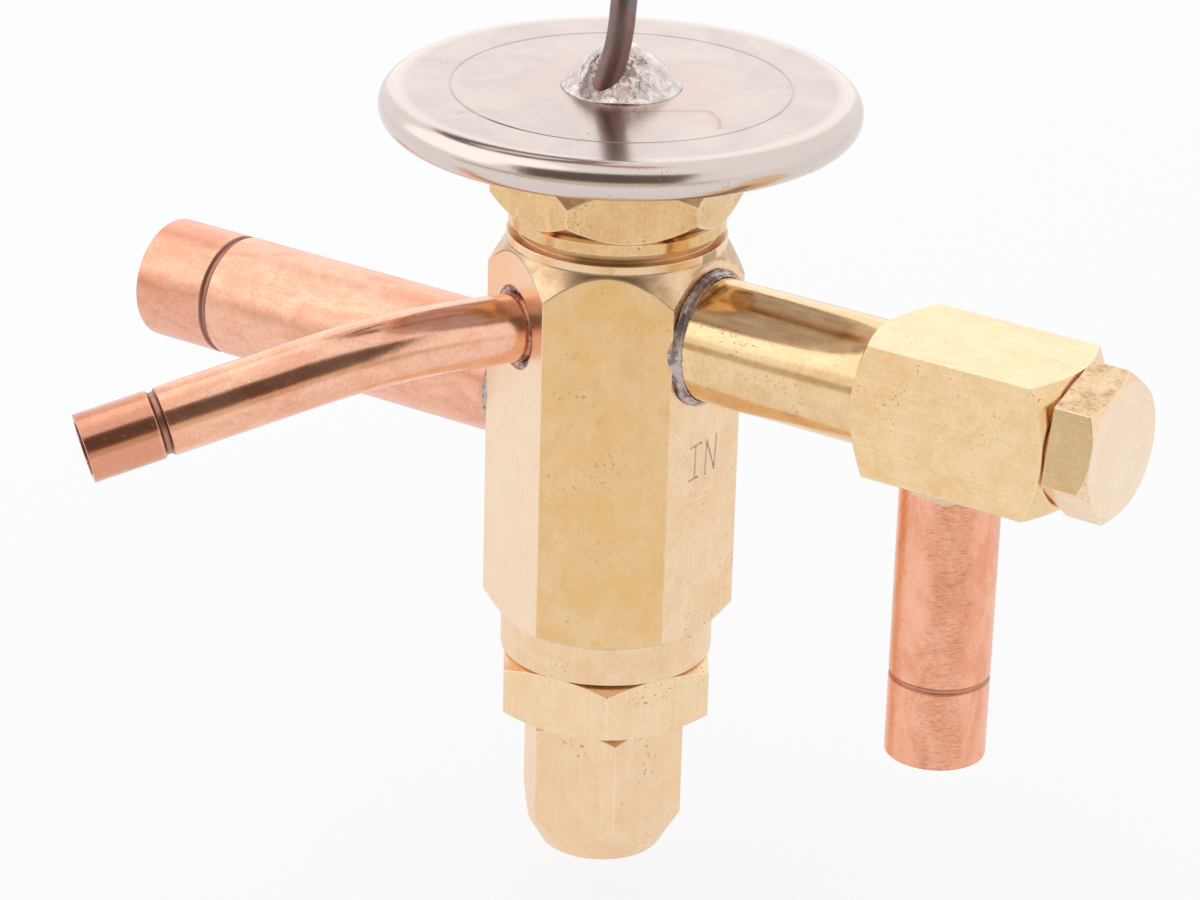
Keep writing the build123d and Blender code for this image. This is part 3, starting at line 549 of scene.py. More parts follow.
def body_marks_and_painted_light(finish):
    """A dark line at the cone's edge, stains and painted shade, and two flats painted in light and shade, as
    masks and colours.
    """
    true = finish.true_normal()
    normal_z = finish.add("SeparateXYZ", {}, {0: true}, "Z")
    on_flat = 1 - finish.edge(abs(normal_z), 0.02, 0.05)
    cone = cone_r + (cone_foot - finish.z) * cone_slope
    # A thin dark line where the top cone meets the flats.
    cone_edge_line = 1 - finish.edge(abs(finish.radius() - cone), 0.05, 0.16)
    cone_edge_line = cone_edge_line * on_flat * finish.edge(finish.z, 2.0, 3.0)
    cone_edge_line = cone_edge_line * finish.edge(finish.noise(5.0, 2.0, rough=0.5), 0.35, 0.55)
    # Painted shade inside the stamped letters.
    letter_shade = finish.edge(finish.x, *letters_from) * (1 - finish.edge(finish.x, *letters_to))
    letter_shade = letter_shade * (1 - finish.edge(abs(finish.y), 3.3, 3.5))
    # Painted shade in the groove.
    groove_shade_mask = finish.edge(finish.z, 10.25, 10.35) * (1 - finish.edge(finish.radius(), 11.5, 11.7))
    # Blotches on the upward faces of the cone: partly stains, partly painted shade.
    on_cone = finish.edge(normal_z, 0.30, 0.45) * finish.edge(finish.z, 0.0, 1.0)
    blots = finish.noise((4.0, 4.0, 3.0), rough=0.55, warp=0.4, shift=4.0)
    cone_stain_and_shade = on_cone * finish.edge(blots, 0.25, 0.75)
    # Two front flats: one painted darker and more golden as painted shade, the one beside it painted paler as
    # painted light.
    flats = []
    for way in ((0.5, -0.866, 0), (-0.5, -0.866, 0)):
        facing = finish.edge(finish.dot(true, way), 0.9975, 0.9990)
        flats.append(facing * finish.edge(finish.dot(finish.point, way), 12.50, 12.58))
    shaded_gold_flat, lit_pale_flat = flats
    blotches = finish.noise(4.5, 5.0, rough=0.65, warp=0.8, shift=12.0)
    shaded_gold_flat = shaded_gold_flat * (0.5 + finish.edge(blotches, 0.30, 0.70) * 0.75)
    return (
        (shaded_gold_flat * 0.60, (234, 190, 118)),
        (lit_pale_flat * 0.4, (255, 236, 214)),
        (cone_edge_line * 0.8, (122, 88, 52)),
        (letter_shade * 0.75, (166, 132, 92)),
        (groove_shade_mask * 0.6, (196, 134, 72)),
        (cone_stain_and_shade * 0.85, (192, 152, 116)),
    )


def hex_marks_and_painted_light(finish):
    """A brushed brown patch on the cap's upper flat, and front and end faces painted paler as painted light.
    """
    true = finish.true_normal()
    upper = finish.edge(finish.dot(true, (0, -0.313, 0.95)), 0.96, 0.99)
    front = finish.edge(finish.dot(true, (0, -0.979, 0.204)), 0.96, 0.99)
    end = finish.edge(finish.dot(true, (1, 0, 0)), 0.90, 0.98)
    patch = finish.edge(finish.noise(1.6, 4.0, rough=0.7, warp=1.0, shift=3.0), 0.44, 0.60)
    brushed = finish.edge(finish.noise((0.9, 0.14, 0.14), shift=1.0), 0.36, 0.62)
    return (
        (upper * patch * brushed * 0.65, (176, 118, 76)),
        # The front and end faces are painted paler: painted light.
        (front * 0.5, (255, 232, 190)),
        (end * 0.5, (255, 238, 216)),
    )


def block_painted_light(finish):
    """The housing's upper faces, painted paler than its sides as painted light."""
    normal_z = finish.add("SeparateXYZ", {}, {0: finish.true_normal()}, "Z")
    # Painted light: the upward faces are paler.
    return ((finish.edge(normal_z, 0.55, 0.65) * 0.2, (255, 238, 212)),)


print("marks", [marks.__name__ for marks in (body_marks_and_painted_light, hex_marks_and_painted_light, block_painted_light)])

# %% Brass pieces
inner_pieces = ("spring_guide", "packing_gland", "pin_carrier")
brass_pieces = (
    ("body_brass", "z", (255, 226, 188), (248, 208, 164), 0.30, 0.5, 0.5, body_marks_and_painted_light, "valve_body"),
    ("hub_brass", "z", (244, 208, 156), (226, 182, 126), 0.15, 0.5, 0.5, None, "element_hub"),
    ("nut_brass", "z", (255, 230, 192), (252, 214, 170), 0.27, 0.5, 0.5, None, "bottom_nut"),
    ("cap_brass", "z", (255, 226, 190), (252, 212, 168), 0.30, 0.5, 0.5, None, "seal_cap"),
    ("housing_brass", "x", (255, 224, 178), (244, 204, 150), 0.24, 0.5, 0.2, block_painted_light, "strainer_housing"),
    ("strainer_cap_brass", "x", (255, 228, 192), (246, 208, 164), 0.18, 0.7, 0.5, hex_marks_and_painted_light, "strainer_cap"),
    ("arm_brass", "x", (250, 218, 172), (234, 196, 146), 0.13, 0.3, 0.3, None, "inlet_arm"),
    ("inner_brass", "z", (236, 200, 140), (210, 168, 104), 0.22, 0.8, 0.2, None, *inner_pieces),
)
for seed, row in enumerate(brass_pieces, 1):
    name, bar_axis, face, dark, roughness, grain, soil, extra, *pieces = row
    dress(brass(name, bar_axis, face, dark, roughness, grain, soil, seed, extra), *pieces)
print("brass finishes", len(finishes))

# %% [markdown]
# ## Copper
# The three connections are drawn copper tube, pink where it is clean and browner where
# it was held and heated for brazing. A rolled groove near each mouth stops the pipe that
# goes in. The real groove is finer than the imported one, so each tube is copied, and the
# points of its groove are drawn together and outwards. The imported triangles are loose,
# so a copy is merged first, and its edges are kept sharp where they turn enough.

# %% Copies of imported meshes
def copy_of(node, name):
    """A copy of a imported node, with a mesh of its own."""
    copy = nodes[node].copy()
    copy.data = nodes[node].data.copy()
    copy.name = copy.data.name = name
    bpy.context.collection.objects.link(copy)
    return copy


def merged(mesh):
    """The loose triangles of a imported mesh, joined at their corners."""
    shape = bmesh.new()
    shape.from_mesh(mesh)
    bmesh.ops.remove_doubles(shape, verts=shape.verts, dist=1e-6)
    return shape


def smooth_below(shape, turn):
    """Smooth faces, with sharp edges where two faces turn by more degrees than that."""
    for face in shape.faces:
        face.smooth = True
    for edge in shape.edges:
        edge.smooth = edge.calc_face_angle(pi) < radians(turn)


def as_mesh(thing):
    """What an object's modifiers make, as a plain mesh."""
    graph = bpy.context.evaluated_depsgraph_get()
    return bpy.data.meshes.new_from_object(thing.evaluated_get(graph))


print("packed tube faces", len(nodes["inlet_tube"].data.polygons))

# %% Tubes with finer grooves
groove_half, wall = 0.75, 0.6
inlet_x, outlet_z = 45, -11.2
tube_facts = {
    "inlet": ((inlet_x, 0, -42), (0, 0, 1), 8.9, 5.71),
    "outlet": ((-65.2, 0, outlet_z), (1, 0, 0), 9.4, 7.3),
    "equalizer": ((-35.84, -51.39, -8.96), (0.6087, 0.7517, 0.2538), 8.1, 3.97),
}


def tighten(name, width_share, depth_share):
    """A copy of a packed tube whose rolled groove is narrower and shallower."""
    mouth, inward, groove, outer_r = tube_facts[name]
    node = name + "_tube"
    tube = copy_of(node, "rolled_" + node)
    shape = merged(tube.data)
    start, axis = at(*mouth), Vector(inward).normalized()
    middle, half_width = (groove + groove_half) * mm, (groove_half + 0.01) * mm
    for vertex in shape.verts:
        along = (vertex.co - start).dot(axis)
        if abs(along - middle) > half_width:
            continue
        centre = start + axis * along
        out = vertex.co - centre
        wall_r = outer_r * mm if out.length > (outer_r - wall) * mm else out.length
        reach = wall_r + (out.length - wall_r) * depth_share
        along = middle + (along - middle) * width_share
        vertex.co = start + axis * along + out.normalized() * reach
    smooth_below(shape, 18)
    shape.to_mesh(tube.data)
    shape.free()
    tube.data.materials.clear()
    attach(tube, "valve")
    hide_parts(node)
    return tube


inlet = tighten("inlet", width_share=0.55, depth_share=0.6)
outlet = tighten("outlet", width_share=0.75, depth_share=0.7)
equalizer = tighten("equalizer", width_share=0.75, depth_share=0.8)
print("tubes", [tube.name for tube in (inlet, outlet, equalizer)])

# %% [markdown]
# The tone of a tube follows the distance from its mouth: painted shade in the groove, paler
# along its floor, and on some of them browner between the groove and the mouth. The inlet
# tube is darker in a hatched band down the side that faces the camera, and has a brazing
# residue at its top.

# %% The copper recipe
def stub_marks(finish):
    """A darker hatched band down the side of the inlet tube that faces the camera, and brazing residue at its
    top.
    """
    # A darker hatched band down the side that faces the camera.
    front = finish.dot(finish.point, (0.56, -0.83, 0.0)) - 0.56 * inlet_x
    camera_facing_band = finish.edge(front + (finish.noise(2.5, rough=0.5) - 0.5) * 1.6, 5.0, 5.5)
    hatch = finish.edge(finish.noise((1.0, 1.0, 0.16), warp=0.8, shift=2.0), 0.46, 0.64)
    ragged = (finish.noise(1.6, 4.0) - 0.5) * 3.4
    residue = finish.edge(finish.z + ragged, -9.5, -9.2)
    return (
        (camera_facing_band * 0.15, (214, 140, 104)),
        (camera_facing_band * hatch * 0.42, (176, 108, 76)),
        (residue * 0.75, (226, 214, 186)),
    )


def copper(
    name, seed, clean, worn, dark_half=0.55, roughness=0.27, rubbed=0.3,
    browned=0.0, groove_shade_share=0.80, extra=None,
):
    """Drawn copper tube, clean and worn, with painted shade over half a width about its groove."""
    finish = Finish(name + "_copper")
    mouth, inward, groove, outer_r = tube_facts[name]
    inward = Vector(inward).normalized()
    start = -inward.dot(Vector(mouth))
    along = finish.dot(finish.point, inward) + start
    upright_turn = tuple(inward.rotation_difference(Vector((0, 0, 1))).to_euler())
    stood = finish.add("Mapping", {}, {"Vector": finish.point, "Rotation": upright_turn})
    streaks = finish.noise((0.3, 0.3, 4.5), warp=0.2, shift=seed, point=stood)
    clouds = finish.noise((3.2, 3.2, 7.0), 5.0, warp=0.8, shift=seed + 2, point=stood)
    patches = finish.noise(5.5, 5.0, warp=1.2, shift=seed + 6)
    grit = finish.noise(0.42, 4.0, rough=0.7, shift=seed + 8)
    one_way, other_way = (5.0, 0.13, 0.04, (35, 50, 0), seed), (4.0, 0.12, 0.03, (-40, 58, 20), seed + 3)
    marks = finish.scratches(one_way, other_way)
    off_groove = abs(along - (groove + groove_half))
    # Painted shade in the groove; its floor is left paler.
    groove_shade_mask = 1 - finish.edge(off_groove, dark_half * 0.7, dark_half * 1.15)
    floor_line = 1 - finish.edge(off_groove, dark_half * 0.15, dark_half * 0.45)
    short_of_groove = 1 - finish.edge(along, groove - 0.2, groove + 0.2)
    tone = finish.mix(finish.edge(clouds + (grit - 0.5) * 0.6, 0.32, 0.68), srgb(*worn), srgb(*clean))
    tone = finish.coat(
        tone,
        (finish.edge(patches, 0.52, 0.70) * 0.34, toned(worn, 0.80)),
        (streaks * 0.35, toned(clean, 1.05)),
        (marks * rubbed, (250, 214, 178)),
        *(extra(finish) if extra else ()),
        (short_of_groove * (0.4 + clouds * 0.8) * browned, (198, 118, 92)),
        # Painted shade in the groove, then a paler line along its floor.
        (groove_shade_mask * groove_shade_share, (112, 80, 78)),
        (floor_line * 0.35, worn),
    )
    height = streaks * 0.08 + grit * 0.10 - marks * 0.25
    return finish.done(
        base_color=tone,
        roughness=roughness + (clouds - 0.5) * 0.18 + groove_shade_mask * 0.15,
        normal=finish.rounded(height, strength=0.45, depth=0.12),
    )


inlet.data.materials.append(copper(
    "inlet", 1.0, (254, 190, 160), (240, 158, 124), dark_half=0.40, groove_shade_share=0.45, extra=stub_marks
))
outlet.data.materials.append(
    copper("outlet", 2.0, (252, 196, 168), (234, 160, 132), roughness=0.30, browned=0.2)
)
equalizer.data.materials.append(copper(
    "equalizer", 3.0, (253, 198, 170), (238, 168, 136), roughness=0.17, rubbed=0.15, browned=0.6
))
print("copper", inlet.data.materials[0].name, "and two more")

# %% [markdown]
# ## Steel
# The diaphragm case is pressed stainless sheet, bright and slightly satin. The heat of
# soldering the capillary has left a faint rose tint round the mound and a thin line that
# wanders away from it, and a circle is scribed on the cover.

# %% The cover's steel
cover = Finish("cover_steel")
scribed_r = 19.25
from_axis = cover.radius()
spun = cover.noise((0.20, 0.20, 1.0), 2.0, shift=1.0, point=cover.round_place())
haze = cover.noise(7.0, 4.0, rough=0.55, warp=0.8, shift=2.0)
grit = cover.noise(0.45, shift=3.0)
scribe = 1 - cover.edge(abs(from_axis - scribed_r), 0.10, 0.26)
heat = (1 - cover.edge(from_axis + (haze - 0.5) * 9, 8.5, 16.0)) * cover.edge(haze, 0.38, 0.62)
layers = [
    (cover.edge(from_axis, 23.8, 25.2) * 0.8, (228, 215, 208)),
    ((spun - 0.5) * 0.25 + 0.1, (200, 186, 184)),
    (heat * 0.35, (214, 168, 160)),
    (scribe * 0.18, (150, 140, 142)),
]
heat_line = ((4.42, -8.01), (12.37, -1.25), (14.53, -2.56), (16.78, -5.45))
for start, end in zip(heat_line, heat_line[1:]):
    start, end = Vector((*start, cover_top)), Vector((*end, cover_top))
    way, length = (end - start).normalized(), (end - start).length
    beside = way.cross(Vector((0, 0, 1)))
    wander = (cover.noise(2.0, 2.0, rough=0.5) - 0.5) * 0.5
    off_line = cover.dot(cover.point, beside) - beside.dot(start)
    down_line = cover.dot(cover.point, way) - way.dot(start)
    run = cover.edge(down_line, -0.1, 0.1) * (1 - cover.edge(down_line, length, length + 0.2))
    line = (1 - cover.edge(abs(off_line + wander), 0.10, 0.38)) * run
    glow_side = (1 - cover.edge(abs(off_line + wander * 3), 0.2, 1.6)) * run
    layers += [(line * 0.40, (172, 112, 116)), (glow_side * 0.22, (206, 158, 156))]
specks = cover.flecks(0.45, 6.0, 4.0)
cover_tone = cover.mix(cover.edge(haze, 0.3, 0.7), srgb(200, 184, 177), srgb(212, 198, 190))
height = spun * 0.05 + grit * 0.05 - specks * 0.3
cover.done(
    base_color=cover.coat(cover_tone, *layers, (specks * 0.6, (122, 104, 98))),
    roughness=0.20 + (haze - 0.5) * 0.10 + (grit - 0.5) * 0.06,
    normal=cover.rounded(height, strength=0.35, depth=0.10, radius=0.12),
)
dress(cover.material, "element_cover")
print("layers on the cover", len(layers) + 1)

# %% Other steels
def steel(name, pale, dull, roughness, grain, seed):
    """Ground or drawn steel for the case's underside and the pieces inside."""
    finish = Finish(name)
    clouds = finish.noise(3.0, 4.0, warp=0.5, shift=seed)
    lines = finish.noise((grain, grain, 1.0), 2.0, shift=seed, point=finish.round_place())
    tone = finish.mix(finish.edge(clouds, 0.3, 0.7), srgb(*dull), srgb(*pale))
    return finish.done(
        base_color=finish.coat(tone, (lines * 0.25, toned(dull, 0.8))),
        roughness=roughness + (clouds - 0.5) * 0.12,
        normal=finish.rounded(lines * 0.12, strength=0.4, depth=0.10, radius=0.10),
    )


case_steel = steel("case_steel", (214, 204, 200), (180, 168, 166), 0.24, grain=0.25, seed=1.0)
thin_steel = steel("diaphragm_steel", (232, 228, 224), (206, 202, 200), 0.14, grain=0.4, seed=2.0)
spring_steel = steel("spring_steel", (196, 194, 192), (150, 148, 146), 0.30, grain=0.18, seed=3.0)
dress(case_steel, "element_case")
dress(thin_steel, "diaphragm", "buffer_plate")
dress(spring_steel, "push_rods", "valve_pin", "valve_seat", "superheat_spring", "adjusting_stem")
dress(spring_steel, "strainer_screen", "coil_tie")
print("steel finishes", [name for name in finishes if "steel" in name])

# %% [markdown]
# ## The spring in two halves
# The superheat spring stands between the pin carrier and the spring guide, and both of
# them move. A stiff copy would cut into them at the ends of their travel. The spring is
# cut at its middle turn into an upper and a lower half.

# %% The spring's two halves
whole_spring = nodes["superheat_spring"].data
spring_low = min(vertex.co.z for vertex in whole_spring.vertices)
spring_high = max(vertex.co.z for vertex in whole_spring.vertices)
spring_cut = Vector((crossing.x * mm, crossing.y * mm, (spring_low + spring_high) / 2))
seated = 1.5 * mm


def half_spring(name, upper):
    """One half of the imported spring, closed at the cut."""
    shape = merged(whole_spring)
    everything = [*shape.verts, *shape.edges, *shape.faces]
    cut = {"plane_co": spring_cut, "plane_no": (0, 0, 1)}
    bmesh.ops.bisect_plane(shape, geom=everything, **cut, clear_inner=upper, clear_outer=not upper)
    open_edges = [edge for edge in shape.edges if edge.is_boundary]
    bmesh.ops.holes_fill(shape, edges=open_edges)
    bmesh.ops.triangulate(shape, faces=[face for face in shape.faces if len(face.verts) > 4])
    still_open = sum(edge.is_boundary for edge in shape.edges)
    smooth_below(shape, 30)
    half = put(name, bpy.data.meshes.new(name))
    shape.to_mesh(half.data)
    shape.free()
    half.data.materials.append(spring_steel)
    seat = spring_cut.copy()
    seat.z = spring_high - seated if upper else spring_low + seated
    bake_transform(half)
    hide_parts("superheat_spring")
    print(name, len(half.data.polygons), "faces, open edges", still_open)


half_spring("spring_upper_half", True)
half_spring("spring_lower_half", False)

# %% [markdown]
# ## Capillary, bulb and gaskets
# The capillary has been drawn, wound and heated, so its copper is dull, purple brown with
# a cool bloom. The bulb is cleaner, pinker copper. Two gaskets and the stem's packing are
# grey fibre, and the strainer's gasket is soft copper like the bulb.

# %% Capillary copper
dull = Finish("capillary_copper")
bloom = dull.noise(2.2, 4.0, warp=0.8, shift=1.0)
rust = dull.noise(1.1, 4.0, warp=0.6, shift=5.0)
grit = dull.noise(0.3, rough=0.7, shift=7.0)
dull_tone = dull.mix(dull.edge(bloom, 0.36, 0.64), srgb(160, 122, 116), srgb(132, 126, 128))
rusty = (dull.edge(rust, 0.42, 0.72) * 0.55, (166, 108, 92))
grimy = (dull.edge(grit, 0.5, 0.7) * 0.3, (96, 74, 72))
dull.done(
    base_color=dull.coat(dull_tone, rusty, grimy),
    roughness=0.42 + (bloom - 0.5) * 0.2,
    normal=dull.rounded(grit * 0.25, strength=0.5, depth=0.10, radius=0.05),
)
capillary_line.materials.append(dull.material)
print("capillary finish", dull.material.name)

# %% Bulb and gaskets
bulb = Finish("bulb_copper")
bulb_clouds = bulb.noise(4.0, 5.0, warp=0.9, shift=2.0)
bulb_lines = bulb.noise((9.0, 0.25, 0.25), 2.0, shift=3.0)
bulb_tone = bulb.mix(bulb.edge(bulb_clouds, 0.34, 0.66), srgb(206, 140, 112), srgb(240, 182, 150))
bulb.done(
    base_color=bulb.coat(bulb_tone, (bulb_lines * 0.3, (196, 128, 100))),
    roughness=0.28 + (bulb_clouds - 0.5) * 0.2,
    normal=bulb.rounded(bulb_lines * 0.1, strength=0.4, depth=0.10),
)
dress(bulb.material, "sensing_bulb", "strainer_gasket")

fibre = Finish("gasket_fibre")
strands = fibre.noise((0.4, 0.4, 0.15), 5.0, rough=0.7, warp=0.5, shift=1.0)
fibre.done(
    base_color=fibre.mix(strands, srgb(84, 80, 76), srgb(138, 132, 124)),
    metallic=0.0,
    roughness=0.75 + (strands - 0.5) * 0.2,
    normal=fibre.rounded(strands * 0.5, strength=0.6, depth=0.15, radius=0.05),
)
dress(fibre.material, "stem_packing", "seal_cap_gasket", "bottom_gasket")
print("dressed so far", sum(finishes.values()), "packed nodes")

# %% [markdown]
# ## Solder and brazing
# Solder and silver brazing set as uneven beads, so a clean cone or ring looks wrong. Each
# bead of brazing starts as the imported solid, is remeshed to an even grid of small faces
# and smoothed, and its points are then pushed in and out by a noise. The points that
# touch the tube stay where they are, so that no gap opens there. Beside the body's
# corners a bead is drawn in towards its tube, because its metal had no flat to run on.

# %% Uneven beads
bead_grid, smoothing_rounds = 0.14, 6
lumps = ((3.4, 0.20), (1.1, 0.03))


def clamped(value):
    return min(1.0, max(0.0, value))


def uneven(node, tube_foot, tube_way, tube_r, inward, corner_share):
    """A copy of a packed bead, remeshed and pushed about by a noise, in millimetres."""
    start, way = at(*tube_foot), Vector(tube_way).normalized()
    bead = copy_of(node, "uneven_" + node)
    shape = merged(bead.data)
    shape.to_mesh(bead.data)
    shape.free()
    remesh = bead.modifiers.new("even_grid", "REMESH")
    remesh.mode, remesh.voxel_size = "VOXEL", bead_grid * mm
    mesh = as_mesh(bead)
    bead.modifiers.remove(remesh)
    bead.data = mesh
    shape = bmesh.new()
    shape.from_mesh(mesh)
    loose = [v for v in shape.verts if (v.co - start).cross(way).length / mm > tube_r + 0.2]
    for _ in range(smoothing_rounds):
        bmesh.ops.smooth_vert(
            shape, verts=loose, factor=0.5, use_axis_x=True, use_axis_y=True, use_axis_z=True
        )
    shape.to_mesh(mesh)
    shape.free()
    moved_points = []
    for vertex in mesh.vertices:
        off_tube = (vertex.co - start).cross(way).length / mm - tube_r
        hold = clamped((off_tube - 0.15) / 0.3)
        push = sum(size * noise.noise(vertex.co / mm / wave) for wave, size in lumps)
        moved = vertex.co + vertex.normal * (push - inward) * hold * mm
        out = moved - (start + way * (moved - start).dot(way))
        at_side = clamped((abs(out.y) / out.length - 0.78) / 0.17)
        spare = max(0.0, out.length - tube_r * mm)
        moved_points.append(moved - out.normalized() * spare * at_side * corner_share)
    for vertex, place in zip(mesh.vertices, moved_points):
        vertex.co = place
    mesh.shade_smooth()
    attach(bead, "valve")
    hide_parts(node)
    return bead


bead_facts = (
    ("arm_braze", (0, 0, 0), (1, 0, 0), 7.18, 0.22, 0.55),
    ("outlet_braze", (0, 0, outlet_z), (1, 0, 0), 7.3, 0.22, 0.55),
    ("equalizer_braze", (0, 0, 0), (-0.5, -0.866, 0), 3.97, -0.25, 0.0),
    ("inlet_braze", (inlet_x, 0, 0), (0, 0, 1), 5.71, 0.22, 0.0),
)
beads = [uneven(*facts) for facts in bead_facts]
print("bead faces", [len(bead.data.polygons) for bead in beads])

# %% [markdown]
# The solder mound is made afresh, as rings of points under a profile line. Broad noises
# give it facets, and a fine one gives it granules where the capillary leaves it.

# %% The solder mound
mound_r, mound_limit, edge_band = 6.85, 5.4, 0.8
mound_line = (
    (0.0, 5.15), (0.7, 5.1), (1.3, 4.95), (2.2, 4.45), (3.2, 3.75), (4.2, 2.9), (5.2, 1.8), (5.8, 1.1),
    (6.2, 0.65), (6.6, 0.25), (mound_r, 0.0),
)
around, rings_of_mound = 120, 44
tube_at, granules_r = Vector((0.6, -3.2)), 3.4


def mound_height(reach):
    """The height of the mound's side at a distance from the axis, in millimetres."""
    for (r_in, h_in), (r_out, h_out) in zip(mound_line, mound_line[1:]):
        if reach <= r_out:
            return h_in + (h_out - h_in) * (reach - r_in) / (r_out - r_in)
    return 0.0


def mound_point(reach, heading):
    """A point of the uneven mound, above the place at that distance and heading."""
    spot = Vector((reach * cos(heading), reach * sin(heading), mound_height(reach)))
    at_edge = min(1.0, (mound_r - reach) / edge_band)
    near_tube = max(0.0, 1 - (Vector((spot.x, spot.y)) - tube_at).length / granules_r)
    facets = noise.noise(spot / 4.2) * 0.42 + abs(noise.noise(spot / 1.9 + Vector((5, 2, 1)))) * 0.16
    granules = noise.noise(spot / 0.55) * 0.34 * near_tube + noise.noise(spot / 0.9) * 0.03
    spot.z = max(0.0, spot.z + (facets + granules) * at_edge)
    spot.x += noise.noise(Vector((heading * 2, 1, 0))) * 0.2 * min(1, reach / 4) * at_edge
    return at(spot.x, spot.y, min(spot.z, mound_limit) + cover_top)


shape = bmesh.new()
grid = []
for ring in range(rings_of_mound + 1):
    reach = mound_r * ring / rings_of_mound
    headings = [2 * pi * side / around for side in range(around if ring else 1)]
    grid.append([shape.verts.new(mound_point(reach, heading)) for heading in headings])
for side in range(around):
    after = (side + 1) % around
    shape.faces.new((grid[0][0], grid[1][side], grid[1][after]))
    for inner, outer in zip(grid[1:], grid[2:]):
        shape.faces.new((inner[side], outer[side], outer[after], inner[after]))
shape.faces.new(list(reversed(grid[-1])))
bmesh.ops.recalc_face_normals(shape, faces=shape.faces)
mound_mesh = bpy.data.meshes.new("solder_cone")
shape.to_mesh(mound_mesh)
shape.free()
mound_mesh.shade_smooth()
mound = put("solder_cone", mound_mesh)
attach(mound, "valve")
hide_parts("solder_mound")
print("mound faces", len(mound_mesh.polygons))

# %% Solder and silver finishes
solder = Finish("solder_mound")
ripple = solder.noise(1.3, 4.0, warp=0.8, shift=1.0)
beside_tube = solder.vector("DISTANCE", solder.point, (2.2, -2.6, 29.6), out="Value")
flux = solder.noise(0.8, 4.0, rough=0.65, warp=1.0, shift=5.0) - beside_tube * 0.05
flux = solder.edge(flux, 0.40, 0.48)
grain = solder.noise(0.35, rough=0.7, shift=3.0)
solder_tone = solder.mix(solder.edge(ripple, 0.35, 0.65), srgb(204, 190, 186), srgb(240, 231, 227))
solder.done(
    base_color=solder.coat(solder_tone, (flux * 0.6, (140, 104, 84))),
    metallic=1.0 - flux * 0.35,
    roughness=0.20 + flux * 0.3 + (grain - 0.5) * 0.15,
    normal=solder.rounded(grain * 0.4 + ripple * 0.2, strength=0.5, depth=0.2, radius=0.05),
)
silver = Finish("silver_braze")
ripple = silver.noise(0.9, 4.0, warp=0.8, shift=1.0)
burnt = silver.edge(silver.noise(1.9, 4.0, rough=0.65, warp=0.8, shift=4.0), 0.46, 0.60)
silver.done(
    base_color=silver.mix(burnt, srgb(196, 184, 182), srgb(156, 134, 132)),
    roughness=0.24 + burnt * 0.25,
    normal=silver.rounded(ripple * 0.5, strength=0.5, depth=0.15, radius=0.05),
)
for bead in (mound, *beads):
    bead.data.materials.clear()
    bead.data.materials.append(solder.material if bead is mound else silver.material)
print("solder on", mound.name, "and silver on", len(beads), "beads")

# %% [markdown]
# ## Threads and the strainer's mesh
# The bottom nut's neck and the strainer cap's plug carry threads, and the strainer is a
# sleeve of woven wire. All three repeat along a helix, so Geometry Nodes make them. A
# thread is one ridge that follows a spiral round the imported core, and the mesh is a
# family of wires wound one way and another wound the other way.

# %% Patterns: trees of geometry
class Pattern(Recipe):
    """A Geometry Nodes tree with named inputs that ends in one finished mesh."""

    family = "GeometryNode"

    def __init__(self, name, floats, whole=()):
        super().__init__(bpy.data.node_groups.new(name, "GeometryNodeTree"))
        sockets = self.tree.interface
        sockets.new_socket("Mesh", in_out="OUTPUT", socket_type="NodeSocketGeometry")
        kinds = {**dict.fromkeys(floats, "Float"), **dict.fromkeys(whole, "Int"), "Finish": "Material"}
        for label, kind in kinds.items():
            sockets.new_socket(label, in_out="INPUT", socket_type="NodeSocket" + kind)
        self.inputs = self.tree.nodes.new("NodeGroupInput").outputs

    def given(self, label):
        return Wire(self.inputs[label])

    def close(self, mesh):
        """The finished tree: real meshes instead of instances, with their material."""
        real = self.add("RealizeInstances", {}, {0: mesh})
        done = self.add("SetMaterial", {}, {"Geometry": real, "Material": self.given("Finish")})
        self.add("NodeGroupOutput", {}, {0: done})
        return self.tree


def grow(tree, name, values, place, body):
    """Run a pattern with its values, and keep the result as a plain mesh at its place."""
    piece = put(name, bpy.data.meshes.new(name))
    modifier = piece.modifiers.new("pattern", "NODES")
    modifier.node_group = tree
    for item in tree.interface.items_tree:
        if item.in_out == "INPUT":
            modifier[item.identifier] = values[item.name]
    mesh = as_mesh(piece)
    piece.modifiers.remove(modifier)
    mesh.transform(place)
    piece.data = mesh
    mesh.name = name
    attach(piece, body)
    return piece


print("patterns are trees of", Pattern.family, "nodes")

# %% Thread ridges
ridge = Pattern("thread_ridge", ("Core radius", "Length", "Pitch", "Depth"))
core, length = ridge.given("Core radius"), ridge.given("Length")
turns = length / ridge.given("Pitch")
spiral = {"Resolution": 48, "Rotations": turns, "Start Radius": core, "End Radius": core, "Height": length}
helix = ridge.add("CurveSpiral", {}, spiral)
section = ridge.add("CurvePrimitiveCircle", {}, {"Resolution": 4, "Radius": ridge.given("Depth")})
tooth = ridge.add("CurveToMesh", {}, {"Curve": helix, "Profile Curve": section, "Fill Caps": True})
thread_tree = ridge.close(tooth)


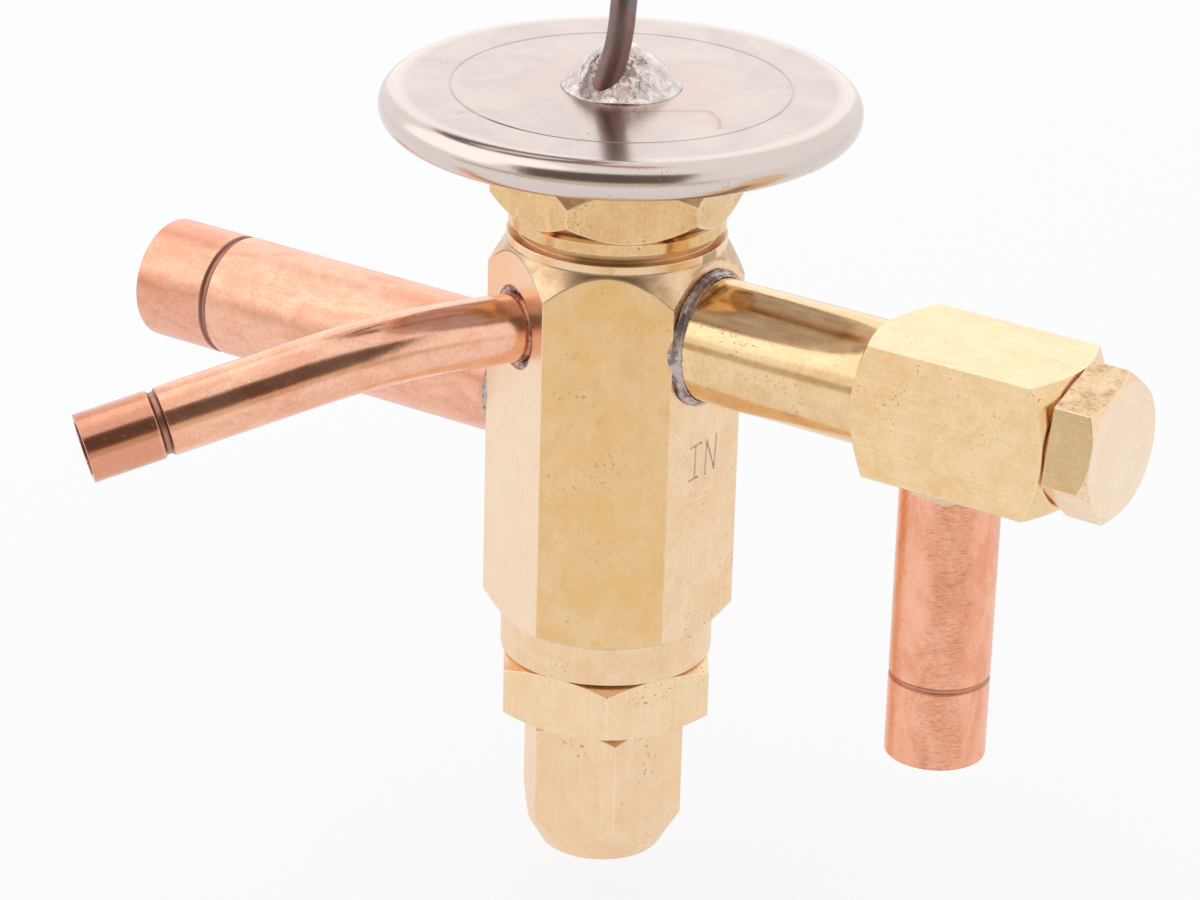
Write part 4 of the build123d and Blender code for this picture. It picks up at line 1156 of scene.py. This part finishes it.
def thread(name, core_r, length, foot_at, turn, body, node):
    """A thread of one millimetre pitch, in the finish of the piece that carries it."""
    sizes = {"Core radius": core_r, "Length": length, "Pitch": 1.0, "Depth": 0.33}
    values = {label: size * mm for label, size in sizes.items()}
    values["Finish"] = nodes[node].material_slots[0].material
    place = Matrix.Translation(at(*foot_at)) @ Matrix.Rotation(turn, 4, "Y")
    return grow(thread_tree, name, values, place, body)


neck_thread = thread("neck_thread", 6.65, 6.6, (0, 0, -56.9), 0.0, "valve", "bottom_nut")
plug_thread = thread("plug_thread", 6.05, 4.8, (54.4, 0, 0), pi / 2, "strainer_cap", "strainer_cap")
print("thread faces", [len(piece.data.polygons) for piece in (neck_thread, plug_thread)])

# %% The strainer's woven wires
weave = Pattern("woven_wires", ("Radius", "Length", "Wire"), ("Wires",))
count, sleeve_r = weave.given("Wires"), weave.given("Radius")
circle = weave.add("CurvePrimitiveCircle", {}, {"Resolution": 4, "Radius": weave.given("Wire")})
families = []
for reverse in (False, True):
    spiral = {"Resolution": 40, "Rotations": 1.0, "Start Radius": sleeve_r, "End Radius": sleeve_r}
    winding = weave.add("CurveSpiral", {}, {**spiral, "Height": weave.given("Length"), "Reverse": reverse})
    sockets = {"Curve": winding, "Profile Curve": circle, "Fill Caps": True}
    families.append(weave.add("CurveToMesh", {}, sockets))
wires = weave.add("JoinGeometry", {}, {})
for family in families:
    weave.tree.links.new(family.socket, wires.socket.node.inputs[0])
spots = weave.add("MeshLine", {}, {"Count": count, "Offset": (0.0, 0.0, 0.0)})
heading = weave.add("InputIndex", {}, {}) * (2 * pi) / count
turns = weave.add("ShaderNodeCombineXYZ", {}, {2: heading})
laid = weave.add("InstanceOnPoints", {}, {"Points": spots, "Instance": wires, "Rotation": turns})
weave_tree = weave.close(laid)
mesh_values = {"Radius": 4.76 * mm, "Length": 12.6 * mm, "Wire": 0.07 * mm, "Wires": 22}
mesh_values["Finish"] = spring_steel
mesh_place = Matrix.Translation(at(40.4, 0, 0)) @ Matrix.Rotation(pi / 2, 4, "Y")
sleeve = grow(weave_tree, "strainer_wires", mesh_values, mesh_place, "strainer_carriage")
print("strainer wire faces", len(sleeve.data.polygons))
